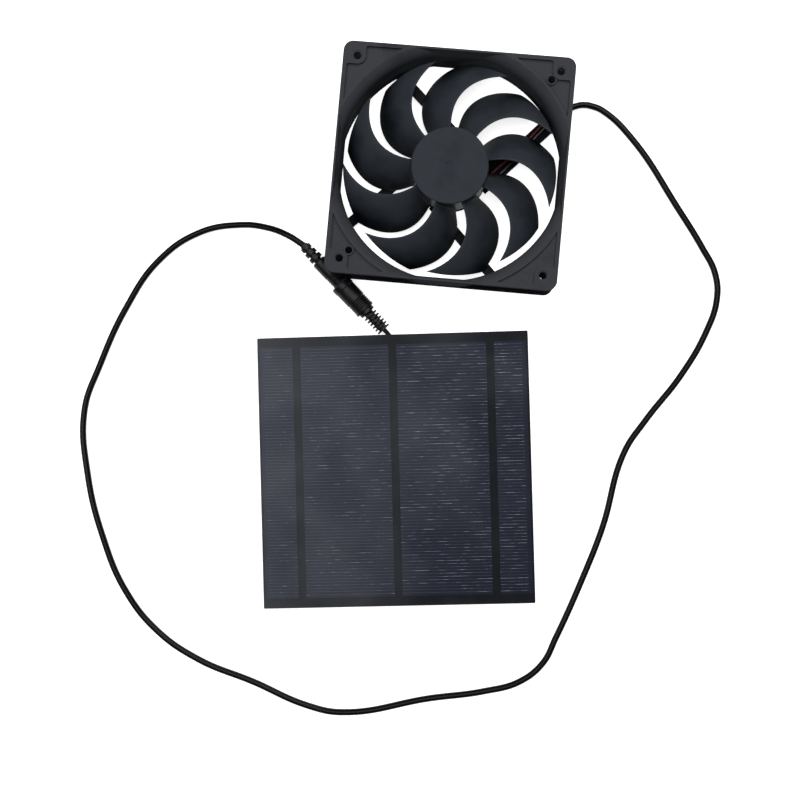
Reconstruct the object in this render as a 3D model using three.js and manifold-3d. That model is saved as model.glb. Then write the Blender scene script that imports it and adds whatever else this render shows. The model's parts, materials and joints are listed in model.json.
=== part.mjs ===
// Solar attic fan: a 120 mm axial fan, its lead with a round DC plug, and a small solar panel
// with a junction box, a short pigtail and the matching socket. Everything lies on one surface.
// Millimetres. Origin: fan axis on the rear face of the fan. +Z: from the rear to the open front.
import * as THREE from 'three';
import { mergeVertices } from 'three/addons/utils/BufferGeometryUtils.js';
import Module from 'manifold-3d';

const wasm = await Module();
wasm.setup();

// ---------------------------------------------------------------- driving dimensions
const FRAME_SIZE = 120;
const FRAME_DEPTH = 25;
const FRAME_CORNER_R = 5;
const REAR_FLANGE = 3.5;
const FRONT_FLANGE = 4;
const DUCT_OUTER_R = 61;
const DUCT_SEGMENTS = 64;
const THROAT_R = 58.8;
const REAR_MOUTH_R = 60;
const REAR_FLARE = 3;
const FRONT_MOUTH_R = 63.3;
const BELL_START_Z = 18;
const REAR_FLAT = 57.4;
const FRONT_FLAT = 59;
const HOLE_OFFSET = 52.5;
const HOLE_R = 2.2;
const SMALL_HOLE_OFFSET = 48;
const SMALL_HOLE_R = 2;
const POCKET_DEPTH = 1;
const POCKET_INNER_R = 64.8;
const POCKET_EDGE = 57.8;
const PAD_R = 4.3;

const BASE_R = 20;
const BASE_T = 2;
const TUBE_OUTER_R = 5.2;
const TUBE_BORE_R = 3.9;
const TUBE_FLOOR = 1.2;
const TUBE_TOP = 17;

// Each strut is a straight bar at an angle, passing the fan axis at an offset to one side.
const STRUTS = [
  { angle: 138, offset: 16.9, width: 5 },
  { angle: 225.5, offset: 14.8, width: 5 },
  { angle: 315, offset: 17.5, width: 5 },
];
const STRUT_START = 7;
const STRUT_END = 58;
const CHANNEL = { angle: 47.6, offset: 16.5, width: 8, wall: 1, floor: 0.8, start: 5 };
const EXIT = { x: 60, y: 39.8, z: 2.6, angle: 38 };
const GROOVE = { width: 5, floor: 0.4, top: 4.3, inwards: 16, outwards: 2 };

const HUB_R = 20;
const HUB_SEGMENTS = 36;
const HUB_BOTTOM = 4.3;
const HUB_TOP = 24.6;
const HUB_WALL = 1.5;
const HUB_EDGE = 0.6;
const HUB_DIMPLE = { topR: 2.2, floorR: 2, depth: 0.4 };
const BLADES = 9;
const BLADE_ROOT_R = 19.2;
const BLADE_TIP_R = 55.5;
const BLADE_T = 1.5;
const BLADE_CAMBER = 1.8;
// An edge starts at an angle in degrees and, from a radius, sweeps back by a power law. Its
// height changes by a rise per mm of radius.
const LEADING_EDGE = { angle: 53.6, sweep: 32.2, from: 20, over: 36, power: 2.15, height: 20.9, rise: -0.038 };
const TRAILING_EDGE = { angle: 84, sweep: 32.2, from: 24, over: 32, power: 1.95, height: 5.1, rise: 0.025 };

const GAP = 0.1;
const SHAFT_R = 1.5;
const SHAFT_BORE_R = 1.6;
const POLES = 4;
const CORE = { bottom: 8, top: 14, r: 14.5, ringR: 6.9, neckHalf: 2.2, shoeInner: 12.3, shoeHalfAngle: 36 };
const INSULATOR = { thickness: 1, overhang: 0.2 };
const COIL = { start: 7.3, end: 11, innerHalf: 2.7, thickness: 1.4, clearance: 1.45, corner: 1.2 };
const BOARD = { r: 13.5, bottom: 2.4, top: 3.4 };
const HALL_SENSOR = { width: 1.5, depth: 4, height: 2.9, at: 10.6, angle: 45 };
const DRIVER_CHIP = { width: 3.9, depth: 4.9, height: 1.5, at: 10, angle: 135 };
const CAPACITOR = { r: 1.7, height: 3.8, at: 9.6, angle: 225 };
const THRUST_PAD = { r: 3.5, thickness: 0.7 };
const BEARING = { bottom: 4.6, top: 15 };
const OIL_SEAL = { bottom: 15.3, top: 16 };
const YOKE = { gap: 0.2, thickness: 0.9, bottom: 5 };
const MAGNET = { gap: 1.3, thickness: 1.9, bottom: 6, top: 17.5 };
const BOSS = { r: 3.4, bottom: 18.2 };
const SHAFT_TIP = { bottom: 2.3, r: 0.9, shoulder: 2.8 };
const SHAFT_GROOVE = { r: 1.1, bottom: 3.1, top: 3.9 };
const CLIP = { outer: 2.9, inner: 1.3, bottom: 3.3, top: 3.7 };

const CABLE_R = 1.7;
const WIRE_R = 0.65;
const INNER_WIRE_R = 0.5;
const PIGTAIL_R = 1.2;

// The connector lies on a line across one corner of the fan, tipped so that the plug rests on
// the rear flange and the socket's far end on the ground. Stations run along it, in mm.
const CONNECTOR = { x: -45.8, y: -69.6, z: 6.37, heading: -41.1, slope: 5, station: 32 };

const PLUG = { r: 4, start: 5.3, end: 22.7, groove: 0.3 };
const BARREL = { outer: 2.75, inner: 2.25, start: 19, end: 32 };
const SOCKET = { start: 23, end: 42.5, collar: 5.7, far: 5.35, bore: 3.1, floor: 34, pinHole: 1.05 };
const CONTACT = { outer: 3, inner: 2.85, start: 24.2, end: 33.5 };
const CENTRE_PIN = { r: 0.95, tipR: 0.6, start: 24.4, end: 35.6 };
const SOCKET_RELIEF = { start: 42.8, collarEnd: 45.2, finsStart: 46.2, end: 56.5, collar: 3.85 };

const PANEL = { x: -14.24, y: -159.41, turn: 6.75, size: 143, corner: 0.6, bottom: 7, top: 10 };
const CELL_BOTTOM = 9.15;
const CELL_TOP = 9.45;
const CELL_HALF_HEIGHT = 66.3;
const CELL_EDGE = 70.3;
const RIBBON_X = [-50.8, 0, 51.5];
const RIBBON_HALF = 1.8;
const RIBBON_OVERHANG = 2;
const CELL_GAP = 0.3;
const LAYER_GAP = 0.05;
const BOX = { width: 50, depth: 40, corner: 3, wall: 1.5, lid: 1.4, top: 6.8, roof: 1 };
const BOX_SCREW = { x: 20.5, y: 15.5, head: 1.9, shank: 0.9, bottom: 0.2, headTop: 0.8, top: 5.1 };
const BOX_BOSS = { r: 2.6, holeTop: 5.4 };
const GLAND = { z: 3.7, r: 1.6, flangeR: 2.5, flange: 1.8, tipR: 1.7, length: 4.3 };
const DIODE = { y: -6, z: 3.7, r: 1.35, half: 2.6, leadR: 0.4, leadHalf: 6.5 };
const TAB = { x: 11, y: 2, width: 5, depth: 3, bottom: 5.3, top: 5.6 };
// How far a cutting solid runs past the face that it cuts.
const OVER = 1;

// Route of the free lead on the ground, from the fan's side to the plug.
const CABLE_ROUTE = [
  [59.13, 39.12, 2.6], [63.4, 41.6, 2.4], [68, 42.8, 2.05], [72.8, 42.4, 1.8],
  [77.9, 40.7, 1.75], [94.7, 27.1, 1.75], [122, -7.6, 1.75], [137, -28, 1.75],
  [144.6, -40.5, 1.75], [146.8, -54, 1.75], [142.5, -72.5, 1.75], [131.5, -96, 1.75],
  [115, -121.5, 1.75], [105.5, -139, 1.75], [97.5, -180, 1.75], [89.5, -207.5, 1.75],
  [78, -241, 1.75], [72.5, -254.5, 1.75], [61, -265.5, 1.75], [43, -272.3, 1.75],
  [15, -278.8, 1.75], [-32, -291, 1.75], [-50, -289.2, 1.75], [-80, -279.5, 1.75],
  [-110.5, -270.5, 1.75], [-134, -257.5, 1.75], [-153, -238, 1.75], [-168, -210.5, 1.75],
  [-179.5, -177.5, 1.75], [-184.5, -143, 1.75], [-178.5, -118.5, 1.75], [-167, -86, 1.75],
  [-152, -59.5, 1.75], [-131.5, -42.5, 1.75], [-110, -36.5, 2.3], [-94, -37.3, 6],
  [-82, -41, 9.1], [-73.38, -45.54, 9.6],
];
// Route of the panel's short lead, from the socket's strain relief to the gland.
const PIGTAIL_ROUTE = [
  [-27.2, -85.85, 4.2], [-24.5, -88.3, 3.8], [-22.2, -91.2, 3.2], [-20.3, -94.4, 2.5],
  [-19.2, -97.9, 1.9], [-18.6, -101.5, 1.5], [-18.4, -105.2, 1.35], [-18.3, -109, 1.35],
  [-18.4, -112.7, 1.35], [-18.5, -116.4, 1.45], [-18.5, -120.1, 1.75], [-18.3, -123.8, 2.3],
  [-17.95, -127.5, 2.95], [-17.5, -131.2, 3.45], [-17.05, -134.85, 3.7],
];

// ---------------------------------------------------------------- materials
const paint = (color, roughness, metalness = 0) =>
  new THREE.MeshStandardMaterial({ color, roughness, metalness });
const frameBlack = paint(0x1d1f22, 0.55);
const impellerBlack = paint(0x202327, 0.5);
const pvcBlack = paint(0x121214, 0.45);
const rubberBlack = paint(0x151516, 0.7);
const steel = paint(0x9a9da1, 0.35, 1);
const siliconSteel = paint(0x6d7075, 0.5, 1);
const nickel = paint(0xc9c6bd, 0.25, 1);
const brass = paint(0xb8923f, 0.35, 1);
const bronze = paint(0x8a6a3c, 0.6, 1);
const copper = paint(0xa5532a, 0.4, 1);
const ferrite = paint(0x3a3a3d, 0.8);
const nylonWhite = paint(0xd8d6cd, 0.6);
const boardGreen = paint(0x1e5133, 0.55);
const chipBlack = paint(0x161617, 0.5);
const canSilver = paint(0xb4b8bc, 0.3, 1);
const wireRed = paint(0xa31318, 0.45);
const wireBlack = paint(0x141416, 0.45);
const boardBlack = paint(0x131417, 0.5);
const siliconBlue = paint(0x2b3142, 0.4);
const ribbonBlack = paint(0x15171b, 0.5);
const filmClear = paint(0x262b38, 0.35);
const zincScrew = paint(0xb9bcc0, 0.35, 1);

// ---------------------------------------------------------------- geometry helpers
const radians = THREE.MathUtils.degToRad;

function toSolid(geometry) {
  const bare = geometry.clone();
  bare.deleteAttribute('normal');
  bare.deleteAttribute('uv');
  const merged = mergeVertices(bare, 1e-4);
  return new wasm.Manifold(new wasm.Mesh({
    numProp: 3,
    vertProperties: new Float32Array(merged.attributes.position.array),
    triVerts: new Uint32Array(merged.index.array),
  }));
}

function toGeometry(solid) {
  const mesh = solid.getMesh();
  const geometry = new THREE.BufferGeometry();
  geometry.setAttribute('position', new THREE.BufferAttribute(mesh.vertProperties, 3));
  geometry.setIndex(new THREE.BufferAttribute(mesh.triVerts, 1));
  geometry.computeVertexNormals();
  return geometry;
}

const joined = (first, ...rest) => rest.reduce((sum, geometry) => sum.add(toSolid(geometry)), toSolid(first));
const without = (solid, ...cuts) => cuts.reduce((left, geometry) => left.subtract(toSolid(geometry)), solid);

// A ring or a solid of revolution about Z from [radius, height] points.
function turned(points, segments = 24) {
  const outline = points.map(([radius, height]) => new THREE.Vector2(radius, height));
  const closed = points[0][0] > 0;
  if (THREE.ShapeUtils.area(outline) < 0) outline.reverse();
  if (closed) outline.push(outline[0].clone());
  return new THREE.LatheGeometry(outline, segments).rotateX(Math.PI / 2);
}

const disc = (radius, bottom, top, segments = 24) =>
  turned([[0, bottom], [radius, bottom], [radius, top], [0, top]], segments);

const ring = (outer, inner, bottom, top, segments = 24) =>
  turned([[inner, bottom], [outer, bottom], [outer, top], [inner, top]], segments);

const block = (width, depth, bottom, top) =>
  new THREE.BoxGeometry(width, depth, top - bottom).translate(0, 0, (bottom + top) / 2);

const extrude = (shape, bottom, top, curveSegments = 3) =>
  new THREE.ExtrudeGeometry(shape, { depth: top - bottom, bevelEnabled: false, curveSegments })
    .translate(0, 0, bottom);

function roundedRect(width, depth, radius) {
  const x = width / 2;
  const y = depth / 2;
  const shape = new THREE.Shape();
  shape.absarc(x - radius, y - radius, radius, 0, Math.PI / 2);
  shape.absarc(radius - x, y - radius, radius, Math.PI / 2, Math.PI);
  shape.absarc(radius - x, radius - y, radius, Math.PI, 1.5 * Math.PI);
  shape.absarc(x - radius, radius - y, radius, 1.5 * Math.PI, 2 * Math.PI);
  return shape;
}

const plate = (width, depth, radius, bottom, top) =>
  extrude(roundedRect(width, depth, radius), bottom, top);

// A square cone frustum with flat sides square to X and Y.
const squareFrustum = (bottomHalf, topHalf, bottom, top) =>
  new THREE.CylinderGeometry(topHalf * Math.SQRT2, bottomHalf * Math.SQRT2, top - bottom, 4)
    .rotateY(Math.PI / 4).rotateX(Math.PI / 2).translate(0, 0, (bottom + top) / 2);

// A bar that runs outwards at an angle and passes the axis at an offset to its right.
function bar({ angle, offset, width }, start, end, bottom, top) {
  return new THREE.BoxGeometry(end - start, width, top - bottom)
    .translate((start + end) / 2, -offset, (bottom + top) / 2)
    .rotateZ(radians(angle));
}

function circleSection(radius, sides) {
  const points = Array.from({ length: sides }, (_, i) => {
    const angle = (2 * Math.PI * (i + 0.5)) / sides;
    return new THREE.Vector2(radius * Math.cos(angle), radius * Math.sin(angle));
  });
  return new THREE.Shape(points);
}

function cableAlong(route, radius, steps, sides = 8) {
  const path = new THREE.CatmullRomCurve3(route.map((point) => new THREE.Vector3(...point)));
  return new THREE.ExtrudeGeometry(circleSection(radius, sides), { steps, extrudePath: path });
}

const fan = new THREE.Group();

function add(parent, name, shape, material) {
  const geometry = shape.isBufferGeometry ? shape : toGeometry(shape);
  const mesh = new THREE.Mesh(geometry, material);
  mesh.name = name;
  parent.add(mesh);
  return mesh;
}

// ---------------------------------------------------------------- fan frame
function ductBore() {
  const bellSteps = 4;
  const profile = [[0, -OVER], [REAR_MOUTH_R + 0.4, -OVER], [REAR_MOUTH_R, 0], [THROAT_R, REAR_FLARE]];
  for (let i = 0; i <= bellSteps; i += 1) {
    const turn = (i / bellSteps) * Math.PI / 2;
    profile.push([
      THROAT_R + (FRONT_MOUTH_R - THROAT_R) * (1 - Math.cos(turn)),
      BELL_START_Z + (FRAME_DEPTH - BELL_START_Z) * Math.sin(turn),
    ]);
  }
  profile.push([FRONT_MOUTH_R, FRAME_DEPTH + OVER], [0, FRAME_DEPTH + OVER]);
  const flats = joined(
    block(2 * REAR_FLAT, 2 * REAR_FLAT, -OVER, BELL_START_Z),
    squareFrustum(REAR_FLAT, FRONT_FLAT, BELL_START_Z, FRAME_DEPTH),
    block(2 * FRONT_FLAT, 2 * FRONT_FLAT, FRAME_DEPTH, FRAME_DEPTH + OVER),
  );
  return toSolid(turned(profile, DUCT_SEGMENTS)).intersect(flats);
}

function cornerPocket() {
  const start = Math.acos(POCKET_EDGE / POCKET_INNER_R);
  const pad = HOLE_OFFSET - PAD_R;
  const shape = new THREE.Shape();
  shape.absarc(0, 0, POCKET_INNER_R, Math.PI / 2 - start, start, true);
  shape.lineTo(POCKET_EDGE, pad);
  shape.lineTo(HOLE_OFFSET, pad);
  shape.absarc(HOLE_OFFSET, HOLE_OFFSET, PAD_R, 1.5 * Math.PI, Math.PI, true);
  shape.lineTo(pad, POCKET_EDGE);
  return extrude(shape, FRAME_DEPTH - POCKET_DEPTH, FRAME_DEPTH + OVER);
}

function fanFrame() {
  const square = (bottom, top) => toSolid(plate(FRAME_SIZE, FRAME_SIZE, FRAME_CORNER_R, bottom, top));
  const duct = toSolid(disc(DUCT_OUTER_R, 0, FRAME_DEPTH, DUCT_SEGMENTS)).intersect(square(0, FRAME_DEPTH));
  let body = duct
    .add(square(0, REAR_FLANGE))
    .add(square(FRAME_DEPTH - FRONT_FLANGE, FRAME_DEPTH))
    .subtract(ductBore());

  for (let corner = 0; corner < 4; corner += 1) {
    const turn = corner * Math.PI / 2;
    body = without(body,
      cornerPocket().rotateZ(turn),
      disc(HOLE_R, -OVER, FRAME_DEPTH + OVER, 16).translate(HOLE_OFFSET, HOLE_OFFSET, 0).rotateZ(turn));
  }
  for (const side of [-1, 1]) {
    body = without(body,
      disc(SMALL_HOLE_R, -OVER, FRAME_DEPTH + OVER, 16)
        .translate(side * SMALL_HOLE_OFFSET, side * SMALL_HOLE_OFFSET, 0));
  }

  const channelEnd = STRUT_END - 1;
  body = body.add(toSolid(disc(BASE_R, 0, BASE_T, HUB_SEGMENTS)));
  body = body.add(toSolid(disc(TUBE_OUTER_R, 0, TUBE_TOP)));
  for (const strut of STRUTS) {
    body = body.add(toSolid(bar(strut, STRUT_START, STRUT_END, 0, REAR_FLANGE)));
  }
  body = body.add(toSolid(bar(CHANNEL, STRUT_START, channelEnd, 0, REAR_FLANGE)));

  const trough = { ...CHANNEL, width: CHANNEL.width - 2 * CHANNEL.wall };
  const groove = block(GROOVE.inwards + GROOVE.outwards, GROOVE.width, GROOVE.floor, GROOVE.top)
    .translate((GROOVE.outwards - GROOVE.inwards) / 2, 0, 0)
    .rotateZ(radians(EXIT.angle))
    .translate(EXIT.x, EXIT.y, 0);
  return without(body,
    disc(TUBE_BORE_R, TUBE_FLOOR, TUBE_TOP + OVER),
    bar(trough, CHANNEL.start, channelEnd, CHANNEL.floor, REAR_FLANGE + OVER),
    groove);
}

// ---------------------------------------------------------------- impeller
const edgeAngle = (edge, r) => edge.angle - edge.sweep * Math.max(0, (r - edge.from) / edge.over) ** edge.power;
const edgeHeight = (edge, r) => edge.height + edge.rise * (r - HUB_R);

// The middle surface of a blade: chord runs from the leading edge to the trailing one and span
// from the root to the tip, both from 0 to 1.
function bladeSurface(chord, span) {
  const { lerp } = THREE.MathUtils;
  const r = lerp(BLADE_ROOT_R, BLADE_TIP_R, span);
  const angle = radians(lerp(edgeAngle(LEADING_EDGE, r), edgeAngle(TRAILING_EDGE, r), chord));
  const camber = BLADE_CAMBER * 4 * chord * (1 - chord);
  const z = lerp(edgeHeight(LEADING_EDGE, r), edgeHeight(TRAILING_EDGE, r), chord) + camber;
  return new THREE.Vector3(r * Math.cos(angle), r * Math.sin(angle), z);
}

function blade(chordSteps, spanSteps) {
  const geometry = new THREE.BoxGeometry(1, 1, 1, chordSteps, spanSteps, 1);
  const position = geometry.attributes.position;
  const step = 0.01;
  for (let i = 0; i < position.count; i += 1) {
    const chord = position.getX(i) + 0.5;
    const span = position.getY(i) + 0.5;
    const alongChord = bladeSurface(chord + step, span).sub(bladeSurface(chord - step, span));
    const alongSpan = bladeSurface(chord, span + step).sub(bladeSurface(chord, span - step));
    const normal = alongChord.cross(alongSpan).normalize();
    const thickness = BLADE_T * (0.35 + 0.65 * Math.sin(Math.PI * (0.12 + 0.8 * chord)));
    const point = bladeSurface(chord, span).addScaledVector(normal, thickness * position.getZ(i));
    position.setXYZ(i, point.x, point.y, point.z);
  }
  return geometry;
}

function impeller() {
  const inner = HUB_R - HUB_WALL;
  const ceiling = HUB_TOP - HUB_WALL;
  const dimpleFloor = HUB_TOP - HUB_DIMPLE.depth;
  let body = toSolid(turned([
    [0, ceiling], [inner, ceiling], [inner, HUB_BOTTOM], [HUB_R, HUB_BOTTOM],
    [HUB_R, HUB_TOP - HUB_EDGE], [HUB_R - HUB_EDGE, HUB_TOP], [HUB_DIMPLE.topR, HUB_TOP],
    [HUB_DIMPLE.floorR, dimpleFloor], [0, dimpleFloor],
  ], HUB_SEGMENTS));
  for (let i = 0; i < BLADES; i += 1) {
    body = body.add(toSolid(blade(6, 5).rotateZ((2 * Math.PI * i) / BLADES)));
  }
  return body;
}

// ---------------------------------------------------------------- stator
// One shape serves the steel core and the two insulators: a ring with four T-shaped poles. The
// insulators stand proud of the core by an overhang.
function poleShape(overhang) {
  const neckHalf = CORE.neckHalf + overhang;
  const shoeInner = CORE.shoeInner - overhang;
  const pitch = (2 * Math.PI) / POLES;
  const shoeHalf = radians(CORE.shoeHalfAngle);
  const rootHalf = Math.asin(neckHalf / CORE.ringR);
  const shoeRootHalf = Math.asin(neckHalf / shoeInner);
  const shape = new THREE.Shape();
  for (let i = 0; i < POLES; i += 1) {
    const middle = i * pitch;
    const at = (radius, angle) => [radius * Math.cos(middle + angle), radius * Math.sin(middle + angle)];
    if (i === 0) shape.moveTo(...at(CORE.ringR, -rootHalf));
    shape.lineTo(...at(CORE.ringR, -rootHalf));
    shape.lineTo(...at(shoeInner, -shoeRootHalf));
    shape.absarc(0, 0, shoeInner, middle - shoeRootHalf, middle - shoeHalf, true);
    shape.absarc(0, 0, CORE.r, middle - shoeHalf, middle + shoeHalf, false);
    shape.absarc(0, 0, shoeInner, middle + shoeHalf, middle + shoeRootHalf, true);
    shape.lineTo(...at(CORE.ringR, rootHalf));
    shape.absarc(0, 0, CORE.ringR, middle + rootHalf, middle + pitch - rootHalf, false);
  }
  const bore = new THREE.Path().absarc(0, 0, TUBE_OUTER_R + GAP, 0, 2 * Math.PI, true);
  shape.holes.push(new THREE.Path(bore.getPoints(12)));
  return shape;
}

function coil() {
  const innerHeight = CORE.top - CORE.bottom + 2 * COIL.clearance;
  const outline = roundedRect(
    2 * (COIL.innerHalf + COIL.thickness), innerHeight + 2 * COIL.thickness, COIL.corner);
  const opening = roundedRect(2 * COIL.innerHalf, innerHeight, COIL.corner / 3);
  outline.holes.push(new THREE.Path(opening.getPoints(1).reverse()));
  return extrude(outline, COIL.start, COIL.end, 2)
    .rotateZ(Math.PI / 2).rotateY(Math.PI / 2).translate(0, 0, (CORE.bottom + CORE.top) / 2);
}

// Places a shape on the circuit board, at its own distance and angle from the fan axis.
const onBoard = (geometry, { at, angle }) =>
  geometry.translate(at, 0, BOARD.top + GAP).rotateZ(radians(angle));

function buildStator() {
  const insulator = (bottom) => extrude(poleShape(INSULATOR.overhang), bottom, bottom + INSULATOR.thickness, 2);
  const chip = ({ width, depth, height }) => block(width, depth, 0, height);
  add(fan, 'stator_core', extrude(poleShape(0), CORE.bottom, CORE.top, 2), siliconSteel);
  add(fan, 'lower_insulator', insulator(CORE.bottom - GAP - INSULATOR.thickness), nylonWhite);
  add(fan, 'upper_insulator', insulator(CORE.top + GAP), nylonWhite);
  for (let i = 0; i < POLES; i += 1) {
    add(fan, `coil_${i + 1}`, coil().rotateZ((2 * Math.PI * i) / POLES), copper);
  }
  add(fan, 'fan_circuit_board', ring(BOARD.r, TUBE_OUTER_R + 3 * GAP, BOARD.bottom, BOARD.top), boardGreen);
  add(fan, 'hall_sensor', onBoard(chip(HALL_SENSOR), HALL_SENSOR), chipBlack);
  add(fan, 'driver_chip', onBoard(chip(DRIVER_CHIP), DRIVER_CHIP), chipBlack);
  add(fan, 'board_capacitor', onBoard(disc(CAPACITOR.r, 0, CAPACITOR.height, 20), CAPACITOR), canSilver);

  const padBottom = TUBE_FLOOR + GAP;
  const sealInner = SHAFT_BORE_R + GAP;
  add(fan, 'thrust_pad', disc(THRUST_PAD.r, padBottom, padBottom + THRUST_PAD.thickness), nylonWhite);
  add(fan, 'sleeve_bearing', ring(TUBE_BORE_R - GAP / 2, SHAFT_BORE_R, BEARING.bottom, BEARING.top), bronze);
  add(fan, 'oil_seal_ring', ring(TUBE_BORE_R - GAP, sealInner, OIL_SEAL.bottom, OIL_SEAL.top), rubberBlack);
}

// ---------------------------------------------------------------- rotor
function buildRotor() {
  const ceiling = HUB_TOP - HUB_WALL;
  const inner = HUB_R - HUB_WALL;
  const yokeOuter = inner - YOKE.gap;
  const magnetOuter = inner - MAGNET.gap;
  const shaftTop = ceiling - 4 * GAP;
  add(fan, 'impeller', impeller(), impellerBlack);
  add(fan, 'rotor_yoke_ring',
    ring(yokeOuter, yokeOuter - YOKE.thickness, YOKE.bottom, ceiling - 3 * GAP, HUB_SEGMENTS), steel);
  add(fan, 'rotor_magnet_ring',
    ring(magnetOuter, magnetOuter - MAGNET.thickness, MAGNET.bottom, MAGNET.top, HUB_SEGMENTS), ferrite);
  add(fan, 'rotor_boss', ring(BOSS.r, SHAFT_BORE_R, BOSS.bottom, ceiling - GAP), brass);
  add(fan, 'rotor_shaft', turned([
    [0, SHAFT_TIP.bottom], [SHAFT_TIP.r, SHAFT_TIP.bottom + GAP], [SHAFT_R, SHAFT_TIP.shoulder],
    [SHAFT_R, SHAFT_GROOVE.bottom], [SHAFT_GROOVE.r, SHAFT_GROOVE.bottom],
    [SHAFT_GROOVE.r, SHAFT_GROOVE.top], [SHAFT_R, SHAFT_GROOVE.top],
    [SHAFT_R, shaftTop], [0, shaftTop],
  ]), steel);
  add(fan, 'retaining_clip', ring(CLIP.outer, CLIP.inner, CLIP.bottom, CLIP.top), nylonWhite);
}

// ---------------------------------------------------------------- lead and its wires
// A wire runs from the circuit board along the channel to the sleeve; side is 1 or -1.
function wireRoute(side) {
  const turn = radians(CHANNEL.angle);
  const exitTurn = radians(EXIT.angle);
  const along = (distance, offset, z) => [
    distance * Math.cos(turn) + offset * Math.sin(turn),
    distance * Math.sin(turn) - offset * Math.cos(turn),
    z,
  ];
  const atExit = (back, z) => [
    EXIT.x - back * Math.cos(exitTurn) - side * Math.sin(exitTurn),
    EXIT.y - back * Math.sin(exitTurn) + side * Math.cos(exitTurn),
    z,
  ];
  return [
    along(-1.5, 12.2 - side * 0.9, 4.3), along(0.5, 14 - side, 4.3),
    along(4, 16 - side * 1.1, 3.6), along(9, CHANNEL.offset - side * 1.2, 2.2),
    along(20, CHANNEL.offset - side * 1.6, 1.7), along(34, CHANNEL.offset - side * 1.1, 1.7),
    along(44, CHANNEL.offset - 0.8 - side, 1.9), atExit(14, 2.4), atExit(10.2, 2.6),
  ];
}

function buildLead() {
  add(fan, 'red_wire', cableAlong(wireRoute(1), WIRE_R, 22, 6), wireRed);
  add(fan, 'black_wire', cableAlong(wireRoute(-1), WIRE_R, 22, 6), wireBlack);
  const sleeve = turned([
    [0, -9.8], [2.3, -9.8], [2.3, -8.4], [2.05, -8], [2.05, -4], [1.85, -1.4], [0, -1.4],
  ], 16).rotateY(Math.PI / 2).rotateZ(radians(EXIT.angle)).translate(EXIT.x, EXIT.y, EXIT.z + GAP);
  add(fan, 'lead_sleeve', sleeve, rubberBlack);
  add(fan, 'fan_lead', cableAlong(CABLE_ROUTE, CABLE_R, 80), pvcBlack);
}

// ---------------------------------------------------------------- connector
// Profiles are given as [radius, station], stations counted along the connector.
const onLine = (profile, segments = 24) =>
  turned(profile.map(([radius, station]) => [radius, station - CONNECTOR.station]), segments);

function connectorGroup() {
  const group = new THREE.Group();
  const slope = radians(CONNECTOR.slope);
  const heading = radians(CONNECTOR.heading);
  const direction = new THREE.Vector3(
    Math.cos(slope) * Math.cos(heading), Math.cos(slope) * Math.sin(heading), -Math.sin(slope));
  group.position.set(CONNECTOR.x, CONNECTOR.y, CONNECTOR.z);
  group.quaternion.setFromUnitVectors(new THREE.Vector3(0, 0, 1), direction);
  fan.add(group);
  return group;
}

// A ribbed cone: full-radius fins on a thinner core, from one station to another.
function finnedCone({ start, end, startR, endR, coreR, fins, finShare }) {
  const pitch = (end - start) / fins;
  const profile = [[0, start]];
  for (let i = 0; i < fins; i += 1) {
    const finStart = start + i * pitch;
    const finEnd = finStart + pitch * finShare;
    const radius = THREE.MathUtils.lerp(startR, endR, (i + 0.5) / fins);
    profile.push([radius, finStart], [radius, finEnd], [coreR, finEnd], [coreR, finStart + pitch]);
  }
  profile.push([0, end]);
  return profile;
}

function buildPlug(group) {
  const grooveR = PLUG.r - PLUG.groove;
  const seatR = BARREL.outer + GAP;
  const grooves = [18, 20].flatMap((station) => [
    [PLUG.r, station], [grooveR, station + 0.3], [grooveR, station + 0.9], [PLUG.r, station + 1.2],
  ]);
  const relief = { start: -4.3, end: 5, startR: 2.5, endR: 3.4, coreR: 2.1, fins: 3, finShare: 0.6 };
  add(group, 'plug_strain_relief', onLine(finnedCone(relief), 16), rubberBlack);
  add(group, 'plug_body', onLine([
    [0, PLUG.start], [PLUG.r - 0.8, PLUG.start], [PLUG.r, PLUG.start + 0.9],
    ...grooves,
    [PLUG.r, PLUG.end], [seatR, PLUG.end], [seatR, BARREL.start - 2 * GAP], [0, BARREL.start - 2 * GAP],
  ]), rubberBlack);
  add(group, 'plug_barrel', onLine([
    [BARREL.inner, BARREL.start], [BARREL.outer, BARREL.start],
    [BARREL.outer, BARREL.end], [BARREL.inner, BARREL.end],
  ]), nickel);

  const insulatorR = BARREL.inner - GAP;
  const insulatorStart = BARREL.start + 2 * GAP;
  const insulatorEnd = BARREL.end - 4 * GAP;
  add(group, 'plug_insulator', onLine([
    [SOCKET.pinHole, insulatorStart], [insulatorR, insulatorStart],
    [insulatorR, insulatorEnd], [SOCKET.pinHole, insulatorEnd],
  ]), chipBlack);
}

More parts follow.
